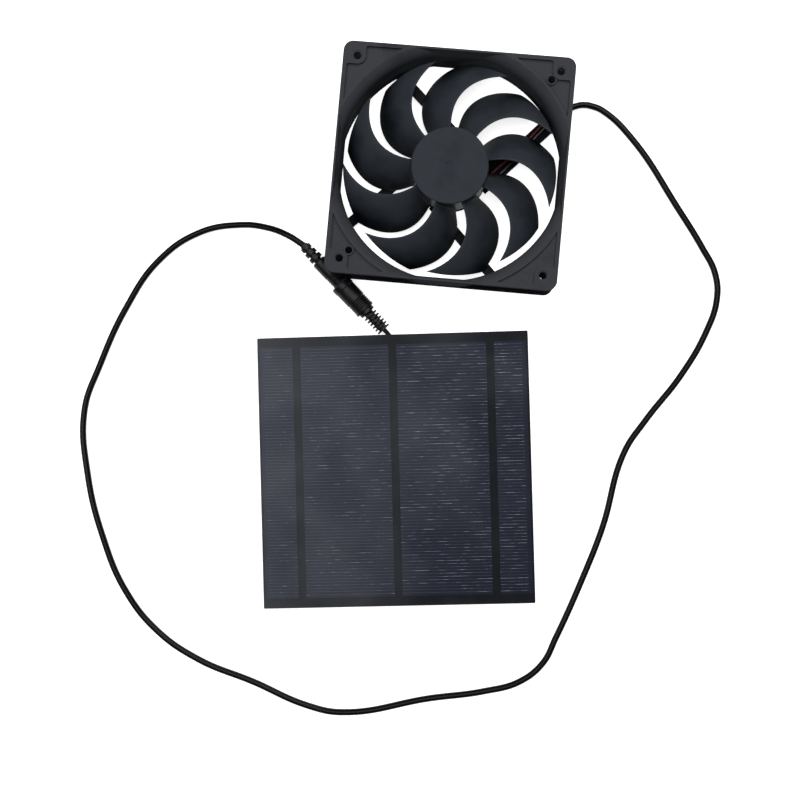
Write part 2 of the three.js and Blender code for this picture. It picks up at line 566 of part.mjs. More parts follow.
function buildSocket(group) {
  const pinFloor = SOCKET.floor + 1.9;
  const ridges = [37.2, 38.7, 40.2].flatMap((station) => [
    [5.45, station], [5.45, station + 0.7], [5.15, station + 0.8], [5.15, station + 1.4],
  ]);
  add(group, 'socket_body', onLine([
    [0, pinFloor], [SOCKET.pinHole, pinFloor], [SOCKET.pinHole, SOCKET.floor],
    [SOCKET.bore, SOCKET.floor], [SOCKET.bore, SOCKET.start], [SOCKET.collar - 0.5, SOCKET.start],
    [SOCKET.collar, SOCKET.start + 0.5], [SOCKET.collar, 26.5], [5.5, 26.9],
    ...ridges, [SOCKET.far, 41.8], [SOCKET.far, SOCKET.end - 0.4],
    [SOCKET.far - 0.4, SOCKET.end], [0, SOCKET.end],
  ]), rubberBlack);
  add(group, 'socket_contact_sleeve', onLine([
    [CONTACT.inner, CONTACT.start], [CONTACT.outer, CONTACT.start],
    [CONTACT.outer, CONTACT.end], [CONTACT.inner, CONTACT.end],
  ]), nickel);
  add(group, 'socket_centre_pin', onLine([
    [0, CENTRE_PIN.start], [CENTRE_PIN.tipR, CENTRE_PIN.start], [CENTRE_PIN.r, CENTRE_PIN.start + 0.5],
    [CENTRE_PIN.r, CENTRE_PIN.end], [0, CENTRE_PIN.end],
  ], 16), nickel);

  const { start, collarEnd, finsStart, end, collar } = SOCKET_RELIEF;
  const fins = { start: finsStart, end, startR: 3.7, endR: 3.5, coreR: 2, fins: 5, finShare: 0.45 };
  add(group, 'socket_strain_relief', onLine([
    [0, start], [collar, start], [collar, collarEnd], [2.2, collarEnd + GAP],
    ...finnedCone(fins).slice(1),
  ], 16), rubberBlack);
}

function buildConnector() {
  const group = connectorGroup();
  buildPlug(group);
  buildSocket(group);
  add(fan, 'pigtail_cable', cableAlong(PIGTAIL_ROUTE, PIGTAIL_R, 26), pvcBlack);
}

// ---------------------------------------------------------------- solar panel
function buildLaminate(group) {
  const edges = [-CELL_EDGE];
  for (const x of RIBBON_X) edges.push(x - RIBBON_HALF - CELL_GAP, x + RIBBON_HALF + CELL_GAP);
  edges.push(CELL_EDGE);
  const sheet = (bottom, top) => plate(PANEL.size, PANEL.size, PANEL.corner, bottom, top);
  add(group, 'panel_board', sheet(PANEL.bottom, CELL_BOTTOM - LAYER_GAP), boardBlack);
  for (let i = 0; i < edges.length / 2; i += 1) {
    const left = edges[2 * i];
    const right = edges[2 * i + 1];
    const cell = block(right - left, 2 * CELL_HALF_HEIGHT, CELL_BOTTOM, CELL_TOP)
      .translate((left + right) / 2, 0, 0);
    add(group, `cell_column_${i + 1}`, cell, siliconBlue);
  }
  RIBBON_X.forEach((x, i) => {
    const length = 2 * (CELL_HALF_HEIGHT + RIBBON_OVERHANG);
    const ribbon = block(2 * RIBBON_HALF, length, CELL_BOTTOM, CELL_TOP);
    add(group, `bus_ribbon_${i + 1}`, ribbon.translate(x, 0, 0), ribbonBlack);
  });
  add(group, 'cover_film', sheet(CELL_TOP + LAYER_GAP, PANEL.top), filmClear);
}

const BOX_CORNERS = [[1, 1], [-1, 1], [-1, -1], [1, -1]];
const atScrew = (geometry, [sx, sy]) => geometry.translate(sx * BOX_SCREW.x, sy * BOX_SCREW.y, 0);
const alongDepth = (geometry) => geometry.rotateX(-Math.PI / 2).translate(0, 0, GLAND.z);

function boxShell() {
  const { width, depth, corner, wall, lid, top, roof } = BOX;
  const bottom = lid + GAP;
  const inside = plate(width - 2 * wall, depth - 2 * wall, corner - wall, bottom - OVER, top - roof);
  let shell = without(toSolid(plate(width, depth, corner, bottom, top)), inside);
  for (const place of BOX_CORNERS) {
    shell = shell.add(toSolid(atScrew(disc(BOX_BOSS.r, bottom, top - roof + 2 * GAP, 12), place)));
    shell = without(shell,
      atScrew(disc(BOX_SCREW.shank + GAP, bottom - OVER, BOX_BOSS.holeTop, 12), place));
  }
  return without(shell, alongDepth(disc(GLAND.r + GAP, depth / 2 - wall - 0.5, depth / 2 + OVER)));
}

function boxLid() {
  let lid = toSolid(plate(BOX.width, BOX.depth, BOX.corner, 0, BOX.lid));
  for (const place of BOX_CORNERS) {
    lid = without(lid,
      atScrew(disc(BOX_SCREW.head + GAP, -OVER, BOX_SCREW.headTop + GAP, 12), place),
      atScrew(disc(BOX_SCREW.shank + GAP, 0, BOX.lid + OVER, 12), place));
  }
  return lid;
}

const boxScrew = () => turned([
  [0, BOX_SCREW.bottom], [BOX_SCREW.head, BOX_SCREW.bottom], [BOX_SCREW.head, BOX_SCREW.headTop],
  [BOX_SCREW.shank, BOX_SCREW.headTop], [BOX_SCREW.shank, BOX_SCREW.top - 0.5], [0, BOX_SCREW.top],
], 12);

function cableGland() {
  const inside = BOX.depth / 2 - BOX.wall - 1.6;
  const face = BOX.depth / 2 + 2 * GAP;
  return alongDepth(turned([
    [0, inside], [GLAND.r, inside], [GLAND.r, face], [GLAND.flangeR, face],
    [GLAND.flangeR, BOX.depth / 2 + GLAND.flange],
    [GLAND.tipR, BOX.depth / 2 + GLAND.length], [0, BOX.depth / 2 + GLAND.length],
  ]));
}

const blockingDiode = () => turned([
  [0, -DIODE.leadHalf], [DIODE.leadR, -DIODE.leadHalf], [DIODE.leadR, -DIODE.half], [DIODE.r, -DIODE.half],
  [DIODE.r, DIODE.half], [DIODE.leadR, DIODE.half], [DIODE.leadR, DIODE.leadHalf], [0, DIODE.leadHalf],
], 16).rotateY(Math.PI / 2).translate(0, DIODE.y, DIODE.z);

function innerWire(side) {
  const route = [[side * 0.9, 16.5, GLAND.z], [side * 1.6, 12, 3.4], [side * 5, 7, 3.2],
    [side * 9, 4, 3.8], [side * TAB.x, TAB.y + 0.2, 4.6]];
  return cableAlong(route, INNER_WIRE_R, 14, 6);
}

function buildJunctionBox(group) {
  add(group, 'junction_box_shell', boxShell(), boardBlack);
  BOX_CORNERS.forEach((place, i) => {
    add(group, `box_screw_${i + 1}`, atScrew(boxScrew(), place), zincScrew);
  });
  add(group, 'junction_box_lid', boxLid(), boardBlack);
  add(group, 'cable_gland', cableGland(), rubberBlack);
  add(group, 'blocking_diode', blockingDiode(), chipBlack);
  for (const [pole, side] of [['positive', 1], ['negative', -1]]) {
    const tab = block(TAB.width, TAB.depth, TAB.bottom, TAB.top).translate(side * TAB.x, TAB.y, 0);
    add(group, `terminal_tab_${pole}`, tab, nickel);
  }
  add(group, 'inner_red_wire', innerWire(1), wireRed);
  add(group, 'inner_black_wire', innerWire(-1), wireBlack);
}

function buildPanel() {
  const group = new THREE.Group();
  group.position.set(PANEL.x, PANEL.y, 0);
  group.rotation.z = radians(PANEL.turn);
  fan.add(group);
  buildLaminate(group);
  buildJunctionBox(group);
}

add(fan, 'fan_frame', fanFrame(), frameBlack);
buildStator();
buildRotor();
buildLead();
buildConnector();
buildPanel();

export default fan;
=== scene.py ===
"""Looks of a solar attic fan: a 120 mm axial fan, its lead and plug, and a small solar panel.

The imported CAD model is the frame. Metres; +Z runs from the fan's rear to its open front.
"""
import json
import math

import bmesh
import bpy
from mathutils import Matrix, Vector


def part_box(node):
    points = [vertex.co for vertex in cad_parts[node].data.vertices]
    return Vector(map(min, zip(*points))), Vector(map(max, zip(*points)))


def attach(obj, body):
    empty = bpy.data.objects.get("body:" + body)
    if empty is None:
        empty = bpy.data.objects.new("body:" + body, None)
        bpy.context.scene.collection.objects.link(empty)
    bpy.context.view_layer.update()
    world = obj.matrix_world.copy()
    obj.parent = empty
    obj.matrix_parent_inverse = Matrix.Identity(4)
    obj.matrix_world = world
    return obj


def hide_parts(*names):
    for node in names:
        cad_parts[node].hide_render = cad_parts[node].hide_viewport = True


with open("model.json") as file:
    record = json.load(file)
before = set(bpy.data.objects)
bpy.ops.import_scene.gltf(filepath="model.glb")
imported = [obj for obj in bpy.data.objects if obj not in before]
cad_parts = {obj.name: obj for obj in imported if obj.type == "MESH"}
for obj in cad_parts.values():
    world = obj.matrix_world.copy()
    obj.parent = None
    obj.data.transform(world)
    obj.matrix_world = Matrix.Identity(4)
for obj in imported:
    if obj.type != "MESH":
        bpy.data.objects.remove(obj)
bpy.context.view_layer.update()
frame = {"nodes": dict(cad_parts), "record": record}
nodes = frame["nodes"]
FAN, ROTOR, PANEL = "fan", "rotor", "panel"

# ---------------------------------------------------------------- driving dimensions
frame_low, frame_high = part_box("fan_frame")
FRAME_SIZE = frame_high.x - frame_low.x
FRAME_DEPTH = frame_high.z - frame_low.z
FRAME_CORNER_R = 0.005
REAR_FLANGE = 0.0035
FRONT_FLANGE = 0.004
DUCT_OUTER_R = 0.061
THROAT_R = 0.0588
REAR_MOUTH_R = 0.0591
REAR_FLARE = 0.003
FRONT_MOUTH_R = 0.0633
BELL_START_Z = 0.018
REAR_FLAT = 0.0574
FRONT_FLAT = 0.059
HOLE_OFFSET = 0.0525
HOLE_R = 0.0020
SMALL_HOLE_OFFSET = 0.048
SMALL_HOLE_R = 0.0019
POCKET_DEPTH = 0.0016
POCKET_INNER_R = 0.0648
POCKET_EDGE = 0.0578
PAD_R = 0.0043
# Ejector marks in one pocket on the -Y side of the frame; the other pocket there mirrors them.
EJECTOR_MARKS = [(0.0543, -0.0433), (0.0433, -0.0542)]
BASE_R = 0.020
BASE_T = 0.002
TUBE_OUTER_R = 0.0052
TUBE_BORE_R = 0.0039
TUBE_FLOOR = 0.0012
TUBE_TOP = 0.017

# Struts: angle in degrees, offset from the fan axis, width.
STRUTS = [(138, 0.0169, 0.005), (225.5, 0.0148, 0.005), (315, 0.0175, 0.005)]
CHANNEL = (47.6, 0.0165, 0.008)
CHANNEL_WALL = 0.001
CHANNEL_FLOOR = 0.0008
# Outline of the small web in the corner between the hub and the channel.
WEB = [(0.015, 0.001), (0.0208, 0.001), (0.0285, 0.0098), (0.015, 0.011)]
EXIT = Vector((0.060, 0.0398, 0.0026))
EXIT_TURN = math.radians(38)

HUB_R = 0.020
HUB_BOTTOM = 0.0043
HUB_TOP = 0.0246
HUB_WALL = 0.0015
BLADES = 9
BLADE_ROOT_R = 0.0192
BLADE_TIP_R = 0.0555
BLADE_T = 0.0015
BLADE_CAMBER = 0.0018
# A blade's edges: angle at the root in degrees, radius where the sweep starts, how much further
# out it has turned by BLADE_SWEEP degrees, and its power.
LEADING_EDGE = (53.6, 0.020, 0.036, 2.15)
TRAILING_EDGE = (84, 0.024, 0.032, 1.95)
BLADE_SWEEP = 32.2
LEADING_Z = 0.0209
LEADING_FALL = 0.038
TRAILING_Z = 0.0051
TRAILING_RISE = 0.025
BLADE_RIM_START = 0.988

CABLE_R = 0.0017
PIGTAIL_R = 0.0012
CONNECTOR = Vector((-0.0458, -0.0696, 0.00637))
CONNECTOR_HEADING = math.radians(-41.1)
CONNECTOR_SLOPE = math.radians(5)
CONNECTOR_STATION = 0.032
# Plug and socket, in stations along the connector from the plug's side.
PLUG_RELIEF = (-0.0049, 0.0068)
PLUG_FINS_START = -0.0039
PLUG_FIN_PITCH = 0.0035
PLUG_FIN_RADII = [0.0030, 0.0033, 0.0036]
PLUG_GRIP = (0.0064, 0.0229)
SOCKET_START = 0.023
SOCKET_FLOOR = 0.034
SOCKET_END = 0.0425
SOCKET_FINS = (0.0459, 0.0569)
GRIP_PITCH = 0.0012
GRIP_RINGS = 5

panel_low, panel_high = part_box("panel_board")
PANEL_CENTRE = (panel_low + panel_high) / 2
PANEL_TURN = math.radians(6.75)
RIBBON_X = [-0.0508, 0, 0.0515]
RIBBON_HALF = 0.0018
CELL_GAP = 0.0003
CELL_EDGE = 0.0703
CELL_HALF_HEIGHT = 0.0663
CELL_TOP = 0.00945
BOX_WIDTH = 0.050
BOX_DEPTH = 0.040
BOX_SCREW_X = 0.0205
BOX_SCREW_Y = 0.0155
# Turns a solid made along Z to lie along the gland's axis, in the panel's own frame.
GLAND_STAND = Matrix.Translation((0, 0, 0.0037)) @ Matrix.Rotation(-math.pi / 2, 4, "X")

# How far a cutting solid stands proud of what it cuts.
OVER = 0.001
ROUND_STEPS = 192

CAMERA_PLACE = Vector((0.0065, -0.12762, 0.59924))
CAMERA_TURN = [math.radians(degrees) for degrees in (0.689, 2.051, 5.189)]
CAMERA_LENS = 50.4
CAMERA_SENSOR = 36
WORLD_STRENGTH = 0.06
# Lamps: name, place, width of the square, power in watts.
LAMPS = [
    ("lamp_top", (-0.1, 0.1, 1.6), 1.4, 22),
    ("lamp_left", (-0.9, -0.25, 1.2), 0.5, 5),
    ("lamp_back", (0.2, 0.42, 0.62), 0.35, 2.6),
]
FLOOR_HALF = 12.0
FLOOR_DROP = 0.0002
FLOOR_GLOW = 0.74

# Route of the free lead on the ground, from the fan's side to the plug.
CABLE_ROUTE = [
    (0.05913, 0.03912, 0.0026), (0.0634, 0.0416, 0.0024), (0.068, 0.0428, 0.00205),
    (0.0728, 0.0424, 0.0018), (0.0779, 0.0407, 0.00175), (0.0947, 0.0271, 0.00175),
    (0.122, -0.0076, 0.00175), (0.137, -0.028, 0.00175), (0.1446, -0.0405, 0.00175),
    (0.1468, -0.054, 0.00175), (0.1425, -0.0725, 0.00175), (0.1315, -0.096, 0.00175),
    (0.115, -0.1215, 0.00175), (0.1055, -0.139, 0.00175), (0.0975, -0.180, 0.00175),
    (0.0895, -0.2075, 0.00175), (0.078, -0.241, 0.00175), (0.0725, -0.2545, 0.00175),
    (0.061, -0.2655, 0.00175), (0.043, -0.2723, 0.00175), (0.015, -0.2788, 0.00175),
    (-0.032, -0.291, 0.00175), (-0.050, -0.2892, 0.00175), (-0.080, -0.2795, 0.00175),
    (-0.1105, -0.2705, 0.00175), (-0.134, -0.2575, 0.00175), (-0.153, -0.238, 0.00175),
    (-0.168, -0.2105, 0.00175), (-0.1795, -0.1775, 0.00175), (-0.1845, -0.143, 0.00175),
    (-0.1785, -0.1185, 0.00175), (-0.167, -0.086, 0.00175), (-0.152, -0.0595, 0.00175),
    (-0.1315, -0.0425, 0.00175), (-0.110, -0.0365, 0.0023), (-0.094, -0.0373, 0.006),
    (-0.082, -0.041, 0.0091), (-0.07338, -0.04554, 0.0096),
]
# Route of the panel's short lead, from the socket's strain relief to the gland.
PIGTAIL_ROUTE = [
    (-0.0272, -0.08585, 0.0042), (-0.0245, -0.0883, 0.0038), (-0.0222, -0.0912, 0.0032),
    (-0.0203, -0.0944, 0.0025), (-0.0192, -0.0979, 0.0019), (-0.0186, -0.1015, 0.0015),
    (-0.0184, -0.1052, 0.00135), (-0.0183, -0.109, 0.00135), (-0.0184, -0.1127, 0.00135),
    (-0.0185, -0.1164, 0.00145), (-0.0185, -0.1201, 0.00175), (-0.0183, -0.1238, 0.0023),
    (-0.01795, -0.1275, 0.00295), (-0.0175, -0.1312, 0.00345), (-0.01705, -0.13485, 0.0037),
]


# ---------------------------------------------------------------- materials
def shader(name, colour, roughness, metallic=0.0, shine=0.5):
    """A new material and its Principled node."""
    material = bpy.data.materials.new(name)
    material.use_nodes = True
    surface = material.node_tree.nodes["Principled BSDF"]
    surface.inputs["Base Color"].default_value = (*colour, 1)
    surface.inputs["Roughness"].default_value = roughness
    surface.inputs["Metallic"].default_value = metallic
    surface.inputs["Specular IOR Level"].default_value = shine
    return material, surface


def noise(material, scale, detail=3.0, stretch=(1, 1, 1)):
    """A noise texture in object space; scale counts features per metre."""
    tree = material.node_tree
    place = tree.nodes.new("ShaderNodeTexCoord")
    mapping = tree.nodes.new("ShaderNodeMapping")
    mapping.inputs["Scale"].default_value = stretch
    texture = tree.nodes.new("ShaderNodeTexNoise")
    texture.inputs["Scale"].default_value = scale
    texture.inputs["Detail"].default_value = detail
    tree.links.new(place.outputs["Object"], mapping.inputs["Vector"])
    tree.links.new(mapping.outputs["Vector"], texture.inputs["Vector"])
    return texture.outputs["Fac"]


def wave(material, pitch, axis):
    """Parallel bands along one axis, a pitch apart."""
    tree = material.node_tree
    place = tree.nodes.new("ShaderNodeTexCoord")
    texture = tree.nodes.new("ShaderNodeTexWave")
    texture.bands_direction = axis
    texture.inputs["Scale"].default_value = 2 * math.pi / 20 / pitch
    tree.links.new(place.outputs["Object"], texture.inputs["Vector"])
    return texture.outputs["Fac"]


def drift(material, factor, low, high, amount, axis="X"):
    """A texture's value, raised steadily by an amount between two places on an axis."""
    tree = material.node_tree
    place = tree.nodes.new("ShaderNodeTexCoord")
    split = tree.nodes.new("ShaderNodeSeparateXYZ")
    ramp = tree.nodes.new("ShaderNodeMapRange")
    ramp.inputs["From Min"].default_value = low
    ramp.inputs["From Max"].default_value = high
    ramp.inputs["To Min"].default_value = -amount / 2
    ramp.inputs["To Max"].default_value = amount / 2
    total = tree.nodes.new("ShaderNodeMath")
    total.operation = "ADD"
    tree.links.new(place.outputs["Object"], split.inputs["Vector"])
    tree.links.new(split.outputs[axis], ramp.inputs["Value"])
    tree.links.new(ramp.outputs["Result"], total.inputs[0])
    tree.links.new(factor, total.inputs[1])
    return total.outputs["Value"]


def vary_colour(material, surface, factor, low, high, start=0.35, end=0.65):
    """The base colour runs from low to high with a texture's value."""
    tree = material.node_tree
    ramp = tree.nodes.new("ShaderNodeValToRGB")
    ramp.color_ramp.elements[0].position = start
    ramp.color_ramp.elements[1].position = end
    ramp.color_ramp.elements[0].color = (*low, 1)
    ramp.color_ramp.elements[1].color = (*high, 1)
    tree.links.new(factor, ramp.inputs["Fac"])
    tree.links.new(ramp.outputs["Color"], surface.inputs["Base Color"])


def vary_roughness(material, surface, factor, low, high):
    """The roughness runs from low to high with a texture's value."""
    tree = material.node_tree
    spread = tree.nodes.new("ShaderNodeMapRange")
    spread.inputs["From Min"].default_value = 0.3
    spread.inputs["From Max"].default_value = 0.7
    spread.inputs["To Min"].default_value = low
    spread.inputs["To Max"].default_value = high
    tree.links.new(factor, spread.inputs["Value"])
    tree.links.new(spread.outputs["Result"], surface.inputs["Roughness"])


def relief(material, surface, factor, height):
    """A fine surface relief of a texture's value."""
    tree = material.node_tree
    bump = tree.nodes.new("ShaderNodeBump")
    bump.inputs["Strength"].default_value = 1.0
    bump.inputs["Distance"].default_value = height
    tree.links.new(factor, bump.inputs["Height"])
    tree.links.new(bump.outputs["Normal"], surface.inputs["Normal"])


def plastic(name, low, high, roughness, grain=6000, grain_height=0.00001, patch=120, shine=0.5):
    """A moulded plastic or rubber: a fine grain, and slow patches of colour and gloss."""
    material, surface = shader(name, low, roughness, shine=shine)
    slow = noise(material, patch, 4)
    vary_colour(material, surface, slow, low, high)
    fine = noise(material, patch * 2.3, 5)
    vary_roughness(material, surface, fine, roughness - 0.06, roughness + 0.06)
    relief(material, surface, noise(material, grain, 2), grain_height)
    return material


def painted_depth_shade_plastic(name, shaded_colour, front, bottom, top, roughness, shine):
    """A black moulded plastic with painted shade: darker down in the fan than at its open front, standing
    for the shade between blades, struts and base.
    """
    material, surface = shader(name, front, roughness, shine=shine)
    # Painted shade: the colour runs from the shaded colour at the bottom height to the front colour at the
    # top height on Z.
    depth = drift(material, noise(material, 60, 2), bottom, top, 0.8, "Z")
    vary_colour(material, surface, depth, shaded_colour, front, 0.16, 0.84)
    vary_roughness(material, surface, noise(material, 280, 5), roughness - 0.05, roughness + 0.05)
    relief(material, surface, noise(material, 5500, 2), 0.000005)
    return material


def metal(name, low, high, roughness, stretch=(1, 1, 1)):
    """A bare metal with fine tool marks."""
    material, surface = shader(name, low, roughness, 1.0)
    marks = noise(material, 2500, 4, stretch)
    vary_colour(material, surface, marks, low, high)
    vary_roughness(material, surface, marks, roughness - 0.08, roughness + 0.12)
    relief(material, surface, marks, 0.000004)
    return material


def copper_winding(axis):
    """Enamelled wire in close turns along one axis."""
    material, surface = shader(f"copper_winding_{axis.lower()}", (0.5, 0.17, 0.07), 0.3, 1.0)
    turns = wave(material, 0.00025, axis)
    vary_colour(material, surface, turns, (0.22, 0.06, 0.02), (0.62, 0.23, 0.09), 0.0, 0.6)
    relief(material, surface, turns, 0.00005)
    return material


def laminated_steel():
    """Silicon steel sheets in a stack."""
    material, surface = shader("laminated_steel", (0.34, 0.35, 0.37), 0.45, 1.0)
    sheets = wave(material, 0.0005, "Z")
    vary_colour(material, surface, sheets, (0.16, 0.165, 0.18), (0.42, 0.43, 0.45), 0.0, 0.4)
    relief(material, surface, sheets, 0.00003)
    return material


def solder_mask():
    """Green board lacquer with darker tracks under it."""
    material, surface = shader("solder_mask", (0.02, 0.11, 0.045), 0.35)
    vary_colour(material, surface, wave(material, 0.0012, "DIAGONAL"), (0.012, 0.075, 0.03),
                (0.03, 0.15, 0.06), 0.3, 0.5)
    relief(material, surface, noise(material, 3000), 0.00001)
    return material


def cell_silicon():
    """Dark blue-grey silicon with faint bands, and a painted sheen that makes it lighter and greyer towards
    its low-X side.
    """
    material, surface = shader("cell_silicon", (0.03, 0.036, 0.065), 0.4, shine=0.1)
    # Painted sheen: the drift across X lightens the bands towards low X, standing for a lamp's reflection on
    # the cells.
    bands = drift(material, noise(material, 30, 3, (0.6, 1.5, 1)), panel_low.x, panel_high.x, -0.5)
    vary_colour(material, surface, bands, (0.009, 0.013, 0.034), (0.022, 0.027, 0.052), 0.15, 0.85)
    return material


def printed_silver():
    """Thin printed silver lines, dull in places, with painted glints in short brighter runs that grow more
    frequent towards high X.
    """
    material, surface = shader("printed_silver", (0.25, 0.27, 0.32), 0.4, 0.3)
    # Painted glints: short bright runs of the silver colour, more of them towards high X, stand for light
    # caught by the lines.
    runs = drift(material, noise(material, 600, 2, (0.25, 1, 1)), panel_low.x, panel_high.x, 0.16)
    vary_colour(material, surface, runs, (0.060, 0.066, 0.086), (0.36, 0.40, 0.48), 0.56, 0.72)
    relief(material, surface, noise(material, 9000, 2), 0.000006)
    return material


def laminate_film():
    """The satin clear film over the cells, with a painted sheen that makes it lighter towards its low-X
    side.
    """
    material, surface = shader("laminate_film", (0.04, 0.043, 0.047), 0.4, shine=0.08)
    # Painted sheen: the film's colour is lighter towards low X, standing for a lamp's reflection.
    painted_sheen = drift(material, noise(material, 25, 2), panel_low.x, panel_high.x, -0.7)
    vary_colour(material, surface, painted_sheen, (0.010, 0.012, 0.018), (0.112, 0.117, 0.132), 0.3, 0.86)
    surface.inputs["Alpha"].default_value = 0.2
    vary_roughness(material, surface, noise(material, 60, 4), 0.34, 0.44)
    return material


LOOKS = {
    # The frame's and the impeller's colours hold painted shade, darker towards the fan's rear.
    "frame_black": painted_depth_shade_plastic("frame_plastic_painted_shade", (0.007, 0.0075, 0.009), (0.0375, 0.0395, 0.0445),
                                bottom=0.002, top=0.020, roughness=0.5, shine=0.0),
    "impeller_black": painted_depth_shade_plastic("impeller_plastic_painted_shade", (0.002, 0.003, 0.004), (0.0225, 0.026, 0.032),
                                   bottom=0.006, top=0.020, roughness=0.43, shine=0.04),
    "pvc_black": plastic("pvc", (0.001, 0.001, 0.0015), (0.003, 0.003, 0.0035), 0.22,
                         grain=2500, grain_height=0.000006, patch=60, shine=0.09),
    "rubber_black": plastic("rubber", (0.002, 0.002, 0.003), (0.004, 0.004, 0.005), 0.40,
                            grain=7000, shine=0.2),
    "nylon_white": plastic("nylon", (0.62, 0.60, 0.54), (0.72, 0.70, 0.64), 0.5),
    "ferrite": plastic("bonded_ferrite", (0.03, 0.03, 0.032), (0.06, 0.06, 0.064), 0.75,
                       grain=9000, grain_height=0.00003),
    "chip_black": plastic("chip_epoxy", (0.010, 0.010, 0.011), (0.020, 0.020, 0.022), 0.5, grain=12000),
    "wire_red": plastic("red_pvc", (0.085, 0.004, 0.006), (0.13, 0.006, 0.008), 0.4,
                        grain=3000, shine=0.2),
    "wire_black": plastic("black_pvc", (0.006, 0.006, 0.007), (0.012, 0.012, 0.013), 0.4, grain=3000),
    "board_black": plastic("board_epoxy", (0.003, 0.004, 0.005), (0.006, 0.007, 0.009), 0.45,
                           grain=900, grain_height=0.000002, shine=0.06),
    "ribbon_black": plastic("ribbon", (0.004, 0.005, 0.006), (0.008, 0.009, 0.011), 0.5,
                            grain=900, grain_height=0.000002, shine=0.06),
    "steel": metal("ground_steel", (0.46, 0.47, 0.49), (0.58, 0.59, 0.61), 0.3, (1, 1, 12)),
    "nickel": metal("nickel_plate", (0.60, 0.57, 0.52), (0.72, 0.69, 0.64), 0.22),
    "brass": metal("turned_brass", (0.54, 0.37, 0.13), (0.66, 0.47, 0.19), 0.3, (1, 1, 12)),
    "bronze": metal("sintered_bronze", (0.30, 0.19, 0.08), (0.46, 0.31, 0.15), 0.5),
    "can_silver": metal("aluminium_can", (0.56, 0.58, 0.60), (0.70, 0.72, 0.74), 0.3, (1, 1, 8)),
    "zinc_screw": metal("zinc_plate", (0.52, 0.53, 0.55), (0.68, 0.69, 0.71), 0.34),
    "silicon_steel": laminated_steel(),
    "board_green": solder_mask(),
    "silicon_blue": cell_silicon(),
    "film_clear": laminate_film(),
    "copper_X": copper_winding("X"),
    "copper_Y": copper_winding("Y"),
    "silver": printed_silver(),
}


# ---------------------------------------------------------------- mesh helpers
def mesh_from(bm, name, place=None):
    """The finished mesh of a bmesh, with its faces turned outwards."""
    bmesh.ops.recalc_face_normals(bm, faces=bm.faces)
    if place is not None:
        bm.transform(place)
    mesh = bpy.data.meshes.new(name)
    bm.to_mesh(mesh)
    bm.free()
    return mesh


def solid(mesh):
    """A plain object that holds a mesh while it is cut and joined."""
    obj = bpy.data.objects.new(mesh.name, mesh)
    bpy.context.scene.collection.objects.link(obj)
    return obj


def piece(name, obj, material, body, slot, *replaced, sharp=32):
    """Makes a solid into a finished piece on a body, standing for CAD nodes."""
    obj.name = name
    obj.data.name = name
    obj.data.materials.clear()
    obj.data.materials.append(material)
    obj.data.shade_smooth()
    obj.data.set_sharp_from_angle(angle=math.radians(sharp))
    even = obj.modifiers.new("even_shading", "WEIGHTED_NORMAL")
    even.keep_sharp = True
    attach(obj, body)
    if replaced:
        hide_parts(*replaced)
    return obj


def applied(obj):
    """Bakes an object's modifiers into its mesh."""
    bpy.context.view_layer.update()
    shaped = obj.evaluated_get(bpy.context.evaluated_depsgraph_get())
    mesh = bpy.data.meshes.new_from_object(shaped)
    obj.modifiers.clear()
    obj.data = mesh
    return obj


def combined(base, other, operation):
    """base joined with, cut by or trimmed to other, which is used up."""
    modifier = base.modifiers.new("combine", "BOOLEAN")
    modifier.operation = operation
    modifier.solver = "EXACT"
    modifier.object = other
    applied(base)
    bpy.data.objects.remove(other)
    return base


def eased_edges(obj, width, segments=2):
    """Rounds the edges of a solid that are sharper than 35 degrees."""
    modifier = obj.modifiers.new("edges", "BEVEL")
    modifier.width = width
    modifier.segments = segments
    modifier.limit_method = "ANGLE"
    modifier.angle_limit = math.radians(35)
    modifier.miter_outer = "MITER_ARC"
    return applied(obj)


def eased(profile, radius, steps=3):
    """A profile with its corners rounded."""
    points = [Vector(point) for point in profile]
    rounded = [points[0]]
    for before, corner, after in zip(points, points[1:], points[2:]):
        back, on = before - corner, after - corner
        reach = min(radius, 0.45 * back.length, 0.45 * on.length)
        start = corner + back.normalized() * reach
        end = corner + on.normalized() * reach
        for i in range(steps + 1):
            t = i / steps
            rounded.append(start * (1 - t) ** 2 + corner * 2 * t * (1 - t) + end * t ** 2)
    rounded.append(points[-1])
    return [tuple(point) for point in rounded]


def turned(profile, segments=96, place=None):
    """A solid of revolution about Z from (radius, height) points; it starts and ends on the
    axis, or closes on itself."""
    bm = bmesh.new()
    rings = []
    for radius, height in profile:
        if radius < 1e-7:
            rings.append([bm.verts.new((0, 0, height))])
            continue
        rings.append([
            bm.verts.new((radius * math.cos(a), radius * math.sin(a), height))
            for a in (2 * math.pi * i / segments for i in range(segments))])
    pairs = list(zip(rings, rings[1:]))
    if profile[0][0] > 1e-7:
        pairs.append((rings[-1], rings[0]))
    for lower, upper in pairs:
        for i in range(segments):
            j = (i + 1) % segments
            if len(lower) == 1:
                bm.faces.new((lower[0], upper[i], upper[j]))
            elif len(upper) == 1:
                bm.faces.new((lower[i], lower[j], upper[0]))
            else:
                bm.faces.new((lower[i], lower[j], upper[j], upper[i]))
    return solid(mesh_from(bm, "turned", place))


def disc(radius, bottom, top, segments=64, place=None):
    """A plain cylinder."""
    return turned([(0, bottom), (radius, bottom), (radius, top), (0, top)], segments, place)


def ring(outer, inner, bottom, top, segments=64, place=None):
    """A plain ring."""
    return turned([(inner, bottom), (outer, bottom), (outer, top), (inner, top)], segments, place)


